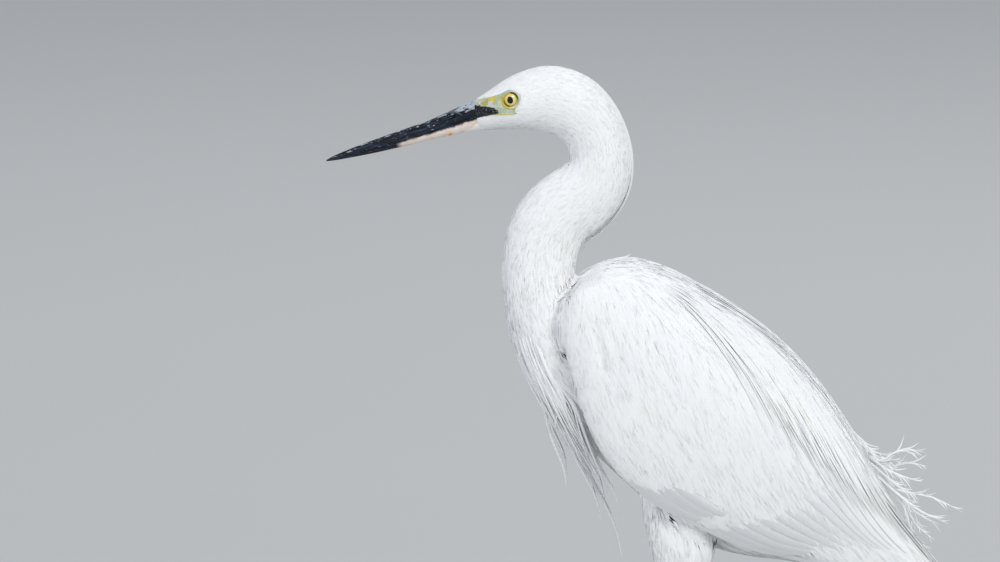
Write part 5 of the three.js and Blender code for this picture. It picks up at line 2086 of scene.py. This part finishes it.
@dataclass
class Tail:
    """The closed tail's twelve feathers."""

    figure: Figure
    pairs: int = 6
    root: float = 192
    tip: float = 292
    height: float = -11.4
    half: float = 5.6

    def build(self) -> None:
        """Lays the feathers over one another, the middle ones on top."""
        rng = np.random.default_rng(12)
        k = np.arange(-self.pairs + 0.5, self.pairs)[:, None]
        rank = np.abs(k) - 0.5 + np.where(k > 0, 0.35, 0)
        u = np.linspace(0, 1, 18)[None, :]
        along = lerp(self.root, self.tip - 1.5 * rank, u)
        above = self.height - 0.5 * rank - 1.4 * np.sin(math.pi * u) - 0.1 * k * k * u
        side = k * lerp(1.3, 2.1, u)
        centres = on_body(along, above, side)
        ups = unit(on_body(0, 1, 0.1 * k + 0 * u) - on_body(0, 0))
        halves = self.half * Profile(Wings.tip_profile)(u)[..., 0] + 0 * k
        roots = np.stack([body_share(along[:, 0]), 0.5 + side[:, 0] / 60], axis=1)
        blades = Blades(centres, ups, halves, roots, Wings.section, 0.5)
        blades.build("tail_feathers", Vaned("tail_vanes").material(), "feather", rng)


@dataclass
class Plumes:
    """The long plumes of the back, breast and nape, and the loose wisps at the ends of the back's."""

    figure: Figure
    breast_root: tuple[float, float] = (-78, 318)
    breast_tips: Rows = (
        (-69.7, 235.4, -4), (-69.2, 242, 4), (-51.4, 216.9, -3.5), (-52.4, 220.5, 1.5), (-40.3, 197.9, -1.5),
        (-42, 202, 3.5), (-49.8, 230.1, -8), (-41.4, 222.2, -8.5), (-54, 229, 7), (-49, 225, 9.5),
    )
    breast_ends: Rows = (
        (0, -74.5, 268), (0.25, -67.5, 258), (0.5, -60.7, 248.5), (0.75, -53.4, 242), (1, -47.1, 236.5),
    )
    wisps: Rows = (
        (85.3, 262.2, 91.5, 257.3, 2), (88, 257.6, 101.4, 252.6, 3), (91, 254.5, 104.5, 250.7, 3),
        (92, 253, 104.5, 245.5, 3), (94, 251, 116.3, 253.9, -9), (95, 250, 119.7, 255.1, -10),
        (97, 246, 120.5, 247, -6), (96, 248, 117.9, 239.6, 2), (98, 243, 114, 233.8, 3),
        (99, 241, 114, 231.2, 3), (101, 238, 112.7, 226.9, 3), (103, 236, 139.4, 223.2, -5),
        (104, 234, 132, 217.6, 4), (105, 233, 127.3, 216.4, 5), (106, 231, 124.7, 207.9, 6),
        (106, 232, 122.1, 211.3, 6), (107, 228, 119.2, 202.9, 5),
    )
    nape: Rows = (
        (3.8, -1.8, 1.8), (4.8, -1.1, 2), (6, -0.7, 2.1), (7.6, -0.3, 2.1), (8.8, 0.4, 2.1), (9.6, 1.0, 2.1),
        (11.2, 1.7, 1.6), (12.6, 2.4, 0.5),
    )
    nape_root: float = 3.8
    nape_tip: float = 12.6
    taper: Rows = ((0, 0.8), (0.3, 1), (0.65, 0.72), (1, 0.1))
    round_section: Rows = ((-1, 0), (0, 0.7), (1, 0), (0, -0.7))

    def body_map(self, spots: Array) -> Array:
        """Places on the body's flat layout, for the roots of plumes."""
        along, above = to_body(spots)
        turn = np.arctan2(spots[:, 1], above - 2)
        return np.clip(np.stack([(along + 40) / 350, turn / (2 * math.pi) + 0.5], axis=1), 0.004, 0.996)

    @staticmethod
    def rolled(headings: Array, turn: float) -> Array:
        """Ways out of a free strand with these headings, turned about it from the left of the bird."""
        front = unit(np.cross(SIDEWAYS, headings))
        return unit(front * math.sin(turn) - SIDEWAYS * math.cos(turn))

    def strands(
        self, centres: Array, ups: Array, half: Array, name: str, rng: Random, soft: float, free: bool = True
    ) -> None:
        """Makes a piece of tapered strands.

        Args:
            centres: Their middle lines.
            ups: The ways out.
            half: Each one's half width.
            name: The piece's name.
            rng: Draws the tones.
            soft: How far the light follows the ways out.
            free: Whether they stand out, and so are round.
        """
        u = np.linspace(0, 1, centres.shape[1])
        halves = np.asarray(half)[:, None] * Profile(self.taper)(u)[None, :, 0]
        finish = Plumage(f"{name}_strands", creamed=0.1).material()
        section = self.round_section if free else Blades.section
        blades = Blades(centres, ups, halves, self.body_map(centres[:, 0]), section, soft)
        blades.build(name, finish, "plume", rng)

    def scapulars(self) -> None:
        """Lays long lax strands from the shoulders over the wings."""
        u = np.linspace(0, 1, 9)[None, :]
        count = 420
        for side in Side:
            rng = np.random.default_rng(61)
            f = rng.random((count, 1))
            root = drawn(rng, 22, 112, count)
            start = lerp(0.99, 0.74, f) + 0.02 * rng.standard_normal((count, 1))
            fall = lerp(0.66, 0.1, f**1.2) + 0.05 * rng.standard_normal((count, 1))
            end = np.minimum(root + drawn(rng, 62, 118, count), lerp(226, 184, f))
            span = np.clip((end - root) / 120, 0.2, 1.1)
            share = start + (fall - start) * span * u**1.25
            lift = lerp(-1.0, drawn(rng, -0.15, 0.28, count), smoothstep(u, 0, 0.25))
            centres, ups = self.figure.wing.out(lerp(root, end, u), share, lift)
            half = lerp(0.28, 0.7, rng.random(count) ** 1.6)
            centres, ups = centres * side.from_left, ups * side.from_left
            self.strands(centres, ups, half, f"scapular_plumes_{side.label}", rng, 0.75, free=False)

    def back(self) -> None:
        """Lays long strands down the middle of the back."""
        wing, back = self.figure.wing, self.figure.back
        rng = np.random.default_rng(62)
        u = np.linspace(0, 1, 9)[None, :]
        count = 430
        root = drawn(rng, 30, 158, count)
        end = np.minimum(root + drawn(rng, 60, 112, count), 246)
        away = drawn(rng, -24, 24, count) * lerp(1.0, lerp(0.75, 0.3, smoothstep(end, 150, 230)), u)
        lift = lerp(-1.0, drawn(rng, 0.0, 0.4, count), smoothstep(u, 0, 0.25))
        along = lerp(root, end, u)
        centres = back.on(wing, along, away, lift)
        slope = back.on(wing, along, away + 1)[..., 2] - back.on(wing, along, away - 1)[..., 2]
        ups = unit(on_body(0, 1, -np.clip(slope / 2, -0.35, 0.35)) - on_body(0, 0))
        half = lerp(0.3, 0.7, rng.random(count) ** 1.6)
        self.strands(centres, ups, half, "back_plumes", rng, 0.75, free=False)

    def breast(self) -> None:
        """Hangs the plumes of the lower breast: a few long ones, and many that end among them."""
        rng = np.random.default_rng(63)
        lines, ups, half = [], [], []
        u = np.linspace(0, 1, 12)
        for x, z, y in self.breast_tips:
            root, side = self.breast_root, 1.5 * y
            foot = (-85.2 + 0.3 * (x + 69.7) + side**2 / 42, side, 299)
            middle = ((foot[0] + x) / 2 - 1.3, side, (foot[2] + z) / 2 - 1.6)
            near = (x - (x - foot[0]) * 0.13, 0.9 * side, z + (foot[2] - z) * 0.2)
            lines.append(Line([(root[0], side * 0.8, root[1]), foot, middle, near, (x, y, z)]).at(u))
            half.append(lerp(0.8, 1.1, rng.random()))
        ends = Profile(self.breast_ends)
        for _ in range(230):
            aside = rng.uniform(-1, 1)
            station, turn = lerp(14.9, 16.6, rng.random()), math.pi + 1.2 * aside
            start, foot = self.figure.neck.on((station, min(station + 0.7, 16.9)), turn, (-0.9, 0.35))
            x, z = ends(min(max(abs(aside) + rng.normal(0, 0.16), 0), 1))
            tip = np.array((x, foot[1] * rng.uniform(0.5, 0.9), z)) + rng.normal(0, 1.0, 3)
            tip = foot + (tip - foot) * lerp(0.45, 1.04, rng.random() ** 0.7)
            middle = (foot + tip) / 2 + np.array((-0.4, 0, -0.9)) * rng.uniform(0.2, 1.2)
            lines.append(Line([start, foot, middle, tip]).at(u))
            half.append(lerp(0.35, 0.85, rng.random() ** 1.2))
        for line in lines:
            way = unit(np.array((-0.4, math.copysign(0.3, line[-3, 1] + 1e-6), 0.85)))
            ups.append(np.repeat(way[None], len(line), axis=0))
        self.strands(np.array(lines), np.array(ups), np.array(half), "breast_plumes", rng, 0.4)

    def napes(self) -> None:
        """Lays the two long plumes of the nape down the back of the neck, each in a few strands."""
        rng = np.random.default_rng(64)
        size, neck = Profile(self.nape), self.figure.neck
        lines, ups = [], []
        u = np.linspace(0, 1, 26)
        for side in Side:
            end = self.nape_tip - (0.7 if side is Side.RIGHT else 0)
            for n in range(7):
                station = lerp(self.nape_root, end - 0.35 * n * rng.random(), u)
                lift, wide = size(self.nape_tip - (end - station)).T
                spread = side.value * 0.14 + (n - 3) / 3 * wide / 17 * 0.9
                lower = np.minimum(1.5, 0.5 + 0.6 * np.maximum(lift, 0)) * ((n - 3) / 3) ** 2
                lift = lift - lower + 0.1 * rng.standard_normal()
                lines.append(neck.on(station, spread, lift))
                ups.append(unit(neck.on(station, 2 * spread, lift + 1) - neck.on(station, 2 * spread, lift)))
        self.strands(np.array(lines), np.array(ups), np.full(len(lines), 0.8), "nape_plumes", rng, 0.7)

    def loose(self) -> None:
        """Lets the branched ends of the back's plumes curl off it."""
        rng = np.random.default_rng(65)
        u = np.linspace(0, 1, 10)
        made = []
        for x0, z0, x1, z1, sag in self.wisps:
            y = rng.uniform(-6, 5)
            start, end = np.array((x0 - 16, y * 0.6, z0 + 14)), np.array((x1, y, z1))
            root = np.array((x0, y * 0.8, z0))
            across = unit(np.cross(end - root, SIDEWAYS))
            middle = (root + end) / 2 + across * sag * -0.45
            line = Line([start, root, middle, end])
            made.append((line, rng.uniform(-0.8, 0.8), 0.6))
            for n in range(7):
                at = lerp(0.3, 0.88, (n + rng.random()) / 7)
                base, heading = line.at(at)[0], line.heading(at)[0]
                out = np.cross(heading, SIDEWAYS) * rng.choice((-1, 1)) * 0.45
                out = out + np.array((0, rng.uniform(-0.4, 0.4), 0))
                reach = lerp(5, 13, rng.random()) * (1.1 - at * 0.5)
                bend = base + (heading + out * 0.5) * reach * 0.5
                branch = Line([base, bend, base + (heading * 1.05 + out) * reach])
                made.append((branch, rng.uniform(-0.8, 0.8), 0.38))
        feather = Line([on_body(4, 41.5, -5), on_body(7.6, 45.4, -5.5), on_body(8.8, 48.4, -6)])
        made.append((feather, 0.2, 0.4))
        lines = np.array([line.at(u) for line, _, _ in made])
        ups = np.array([self.rolled(line.heading(u), turn) for line, turn, _ in made])
        self.strands(lines, ups, np.array([half for _, _, half in made]), "loose_wisps", rng, 0.4)

    def build(self) -> None:
        """Makes every group of plumes."""
        self.scapulars()
        self.back()
        self.breast()
        self.napes()
        self.loose()


@dataclass(frozen=True)
class ToeShape:
    """One toe: its direction outwards from straight ahead, its place, length, joints and claw."""

    turn: float
    aside: float
    length: float
    joints: int
    claw: float


@dataclass
class Leg:
    """The bare shin, shank and toes of one leg in one scaly skin, with scutes, and its claws."""

    side: Side
    stride: float
    shin_top: tuple[float, float] = (-8, 160)
    ankle: tuple[float, float] = (5.5, 104)
    foot_x: float = -6
    foot_z: float = 7.5
    spread: float = 19
    voxel: float = 0.55
    knuckle: Sequence[float] = (4.2, 5.6, 4.4)
    heel_size: Sequence[float] = (5.0, 4.3, 5.6)
    shin: Rows = ((0, 3.4, 3.1), (0.6, 3.1, 2.9), (0.85, 3.7, 3.5), (1, 4.9, 4.2))
    shank: Rows = (
        (0, 4.6, 4), (0.1, 3.9, 3.4), (0.25, 3, 2.5), (0.8, 2.8, 2.4), (0.93, 3.4, 3.2), (1, 4.2, 4),
    )
    toes: tuple[tuple[str, ToeShape], ...] = (
        ("inner", ToeShape(-22, -3.4, 44, 2, 9)),
        ("middle", ToeShape(4, 0, 56, 3, 10)),
        ("outer", ToeShape(32, 3.4, 50, 4, 8.5)),
        ("hind", ToeShape(172, -1.5, 29, 1, 12)),
    )

    def __post_init__(self) -> None:
        """Places the leg's joints."""
        sign = self.side.value
        self.top = np.array((self.shin_top[0], sign * self.spread, self.shin_top[1]))
        self.heel = np.array((self.ankle[0], sign * self.spread, self.ankle[1]))
        self.foot = np.array((self.foot_x + self.stride, sign * (self.spread + 2), self.foot_z))

    def limb(self, start: Array, end: Array, rows: Rows, extend: float = 0.0) -> Shape:
        """A round limb between two joints.

        Args:
            start: Its upper end.
            end: Its lower end.
            rows: Share of the length, half depth and half width.
            extend: How far it reaches past its upper end.

        Returns:
            The shape.
        """
        heading = unit(end - start)
        share = np.linspace(-extend / np.linalg.norm(end - start), 1, 90)
        deep, wide = Profile(rows)(share).T
        turn = circle(28)[None, :, None]
        front = unit(np.cross(SIDEWAYS, heading))
        middle = start + (end - start) * share[:, None]
        rise = np.cos(turn) * front * deep[:, None, None]
        return shell(middle[:, None] + rise + np.sin(turn) * SIDEWAYS * wide[:, None, None])

    def ways(self, toe: ToeShape) -> tuple[Array, Array]:
        """The directions along a toe and across it.

        Args:
            toe: The toe.

        Returns:
            The two directions.
        """
        heading = math.radians(180 - self.side.value * toe.turn)
        ahead = np.array((math.cos(heading), math.sin(heading), 0))
        return ahead, np.array((-ahead[1], ahead[0], 0))

    def over_floor(self, toe: ToeShape, rows: Rows) -> Line:
        """A line that follows a toe.

        Args:
            toe: The toe.
            rows: Reaches from the foot's middle, and the heights there.

        Returns:
            The line.
        """
        root = self.foot + np.array((0, self.side.value * toe.aside, 0))
        ahead = self.ways(toe)[0]
        return Line([(*(root + ahead * reach)[:2], z) for reach, z in rows])

    def toe_line(self, toe: ToeShape) -> Line:
        """The middle line of a toe."""
        bends = ((9, 3.6), (toe.length * 0.45, 2.1), (toe.length * 0.8, 1.75), (toe.length + 1, 1.75))
        return self.over_floor(toe, ((0, self.foot_z - 1), *bends))

    @staticmethod
    def thickness(toe: ToeShape, share: Array) -> Array:
        """Half the thickness of a toe at shares of its length, with a pad under each joint."""
        pad = 0.42 * np.cos(2 * math.pi * share * (toe.joints + 0.5)) * np.minimum(1, 4 * (1 - share))
        return lerp(2.65, 1.85, share) + pad

    @staticmethod
    def tapered(line: Line, across: Array, radius: Array, wide: float, columns: int) -> Shape:
        """A round body along a line, kept over the floor.

        Args:
            line: Its middle line.
            across: The way across it.
            radius: Its half height at even steps.
            wide: Its half width as a share of that.
            columns: Its faces round.

        Returns:
            The shape.
        """
        share = np.linspace(0, 1, len(radius))
        over = unit(np.cross(across, line.heading(share)))[:, None]
        turn = circle(columns)[None, :, None]
        bow = np.cos(turn) * over + wide * np.sin(turn) * across
        rings = line.at(share)[:, None] + radius[:, None, None] * bow
        rings[..., 2] = np.maximum(rings[..., 2], 0.02)
        return shell(rings)

    def digit(self, toe: ToeShape) -> Shape:
        """One toe with a pad under each joint."""
        radius = self.thickness(toe, np.linspace(0, 1, 90))
        return self.tapered(self.toe_line(toe), self.ways(toe)[1], radius, 0.95, 24)

    def scutes(self) -> Shape:
        """Plates across the front of the shank and the tops of the toes.

        Returns:
            All the plates in one shape.
        """
        plates = []
        heading = unit(self.foot - self.heel)
        front = unit(np.cross(SIDEWAYS, heading))
        front = front if front[0] < 0 else -front
        for share in np.linspace(0.12, 0.93, 46):
            middle = self.heel + (self.foot - self.heel) * share
            plates.append(self.plate(middle, heading, front, SIDEWAYS, (3.05, 2.65), 1.35))
        for _, toe in self.toes:
            line, across = self.toe_line(toe), self.ways(toe)[1]
            for reach in np.arange(8, toe.length - 1, 1.75):
                share = reach / (toe.length + 1)
                radius = self.thickness(toe, share)
                heading = line.heading(share)[0]
                over = unit(np.cross(across, heading))
                over = over if over[2] > 0 else -over
                size = (radius, radius * 0.95)
                plates.append(self.plate(line.at(share)[0], heading, over, across, size, 0.95))
        return join(plates)

    @staticmethod
    def plate(
        middle: Array, heading: Array, over: Array, across: Array, size: Sequence[float], half: float
    ) -> Shape:
        """One scute, bent over a limb.

        Args:
            middle: The limb's middle there.
            heading: The limb's direction.
            over: The way out under the plate's middle.
            across: The way across.
            size: The limb's half depth and half width.
            half: Half the plate's length.

        Returns:
            The shape.
        """
        arc = 1.15
        turn = np.linspace(-arc, arc, 9)[None, :, None]
        step = np.array((-1, -0.75, 0.75, 1))[:, None, None]
        lift = np.array((-0.12, 0.2, 0.3, -0.12))[:, None, None] * (1 - 0.5 * (turn / arc) ** 4)
        rise, out = over * np.cos(turn) * (size[0] + lift), across * np.sin(turn) * (size[1] + lift)
        bm = bent(middle + heading * half * step * 0.82 + rise + out)
        bmesh.ops.solidify(bm, geom=bm.faces[:], thickness=0.3)
        bmesh.ops.recalc_face_normals(bm, faces=bm.faces)
        return bm

    def claw(self, toe: ToeShape) -> Shape:
        """A curved claw.

        Args:
            toe: Its toe.

        Returns:
            The shape.
        """
        end, hook = toe.length, toe.claw
        rows = ((end - 1.5, 1.6), (end + hook * 0.3, 2.5), (end + hook * 0.68, 2.1), (end + hook, 0.4))
        radius = 1.5 * (1 - np.linspace(0, 1, 26)) ** 0.75 + 0.08
        return self.tapered(self.over_floor(toe, rows), self.ways(toe)[1], radius, 0.78, 16)

    def build(self, skin: Material, horn: Material) -> None:
        """Fuses the limbs and toes, and adds scutes and claws.

        Args:
            skin: The scaly finish.
            horn: The claws' finish.
        """
        parts = [self.limb(self.top, self.heel, self.shin, 8), self.limb(self.heel, self.foot, self.shank)]
        parts += [ball(self.foot, self.knuckle), ball(self.heel, self.heel_size)]
        parts += [self.digit(toe) for _, toe in self.toes]
        bm = remeshed(join(parts), self.voxel)
        smoothed(bm, 3)
        for vert in bm.verts:
            vert.co.z = max(vert.co.z, 0.0)
        name = self.side.label
        nodes = [f"shin_{name}", f"shank_{name}", *(f"toe_{toe}_{name}" for toe, _ in self.toes)]
        Builder.piece(f"leg_skin_{name}", bm, skin, "leg", nodes)
        Builder.piece(f"scutes_{name}", self.scutes(), skin, "leg")
        for toe, shape in self.toes:
            Builder.piece(f"claw_horn_{toe}_{name}", self.claw(shape), horn, "claw", [f"claw_{toe}_{name}"])


@dataclass(frozen=True)
class Lamp:
    """A large soft lamp that faces the bird: where it stands, how wide it is, its watts and its colour."""

    name: str
    place: Sequence[float]
    size: float
    power: float
    colour: Colour
    aim: Sequence[float] = (0, 0, 0.3)

    def build(self) -> None:
        """Adds the lamp."""
        data = bpy.data.lights.new(self.name, "AREA")
        data.shape, data.size, data.energy, data.color = "DISK", self.size, self.power, self.colour
        lamp = placed(self.name, data)
        lamp.location = self.place
        heading = Vector(self.aim) - Vector(self.place)
        lamp.rotation_euler = heading.to_track_quat("-Z", "Y").to_euler()


@dataclass
class Studio:
    """A plain pale floor, soft light and the camera at the photograph's angle."""

    distance: float = 6.0
    elevation: float = math.radians(8)
    sensor: float = 36
    millimetres_per_pixel: float = 0.524
    width: int = 1000
    aim: tuple[float, float] = (-104.8, 346.1)
    sky: Sequence[float] = (0.86, 0.92, 1.0, 1)
    sky_strength: float = 0.6
    lamps: tuple[Lamp, ...] = (
        Lamp("key", (2.2, -3.4, 3.4), 2.0, 122, (1.0, 0.985, 0.96)),
        Lamp("fill", (-3.0, -3.2, 1.2), 3.0, 54, (0.95, 0.97, 1.0)),
        Lamp("rim", (0.6, 3.0, 3.2), 2.0, 46, (0.97, 0.985, 1.0)),
    )

    def camera(self) -> None:
        """Sets the camera level with the bird's side, looking slightly down."""
        data = bpy.data.cameras.new("camera")
        data.sensor_width = self.sensor
        data.lens = self.sensor * self.distance / MM / (self.millimetres_per_pixel * self.width)
        data.clip_end = 100
        camera = placed("camera", data)
        target = real(np.array((self.aim[0], 0, self.aim[1])))
        back = np.array((0, -math.cos(self.elevation), math.sin(self.elevation)))
        camera.location = Vector(target + back * self.distance)
        camera.rotation_euler = (math.pi / 2 - self.elevation, 0, 0)
        bpy.context.scene.camera = camera

    def build(self) -> None:
        """Makes the floor, the lamps, the sky and the camera."""
        bm = bmesh.new()
        bmesh.ops.create_grid(bm, x_segments=8, y_segments=8, size=40)
        floor = placed("floor", meshed("floor", bm))
        floor.data.materials.append(Backdrop().material())
        for lamp in self.lamps:
            lamp.build()
        world = bpy.data.worlds.new("sky")
        world.use_nodes = True
        sky = world.node_tree.nodes["Background"]
        sky.inputs["Color"].default_value = self.sky
        sky.inputs["Strength"].default_value = self.sky_strength
        bpy.context.scene.world = world
        bpy.context.scene.view_settings.view_transform = "Standard"
        self.camera()


def main() -> None:
    """Builds the bird and the studio round it."""
    logging.basicConfig(level=logging.INFO, format="%(message)s")
    figure = Figure()
    bed = Skin(figure).build()
    Coat(figure, bed).build()
    Wings(figure).build()
    Tail(figure).build()
    Plumes(figure).build()
    Bill().build()
    for side in Side:
        Face(figure, side).build()
        Eye(side).build()
    scales, horn = Scaled().material(), ClawHorn().material()
    for side, stride in ((Side.LEFT, 11.0), (Side.RIGHT, -11.0)):
        Leg(side, stride).build(scales, horn)
    Studio().build()


if __name__ == "__main__":
    main()
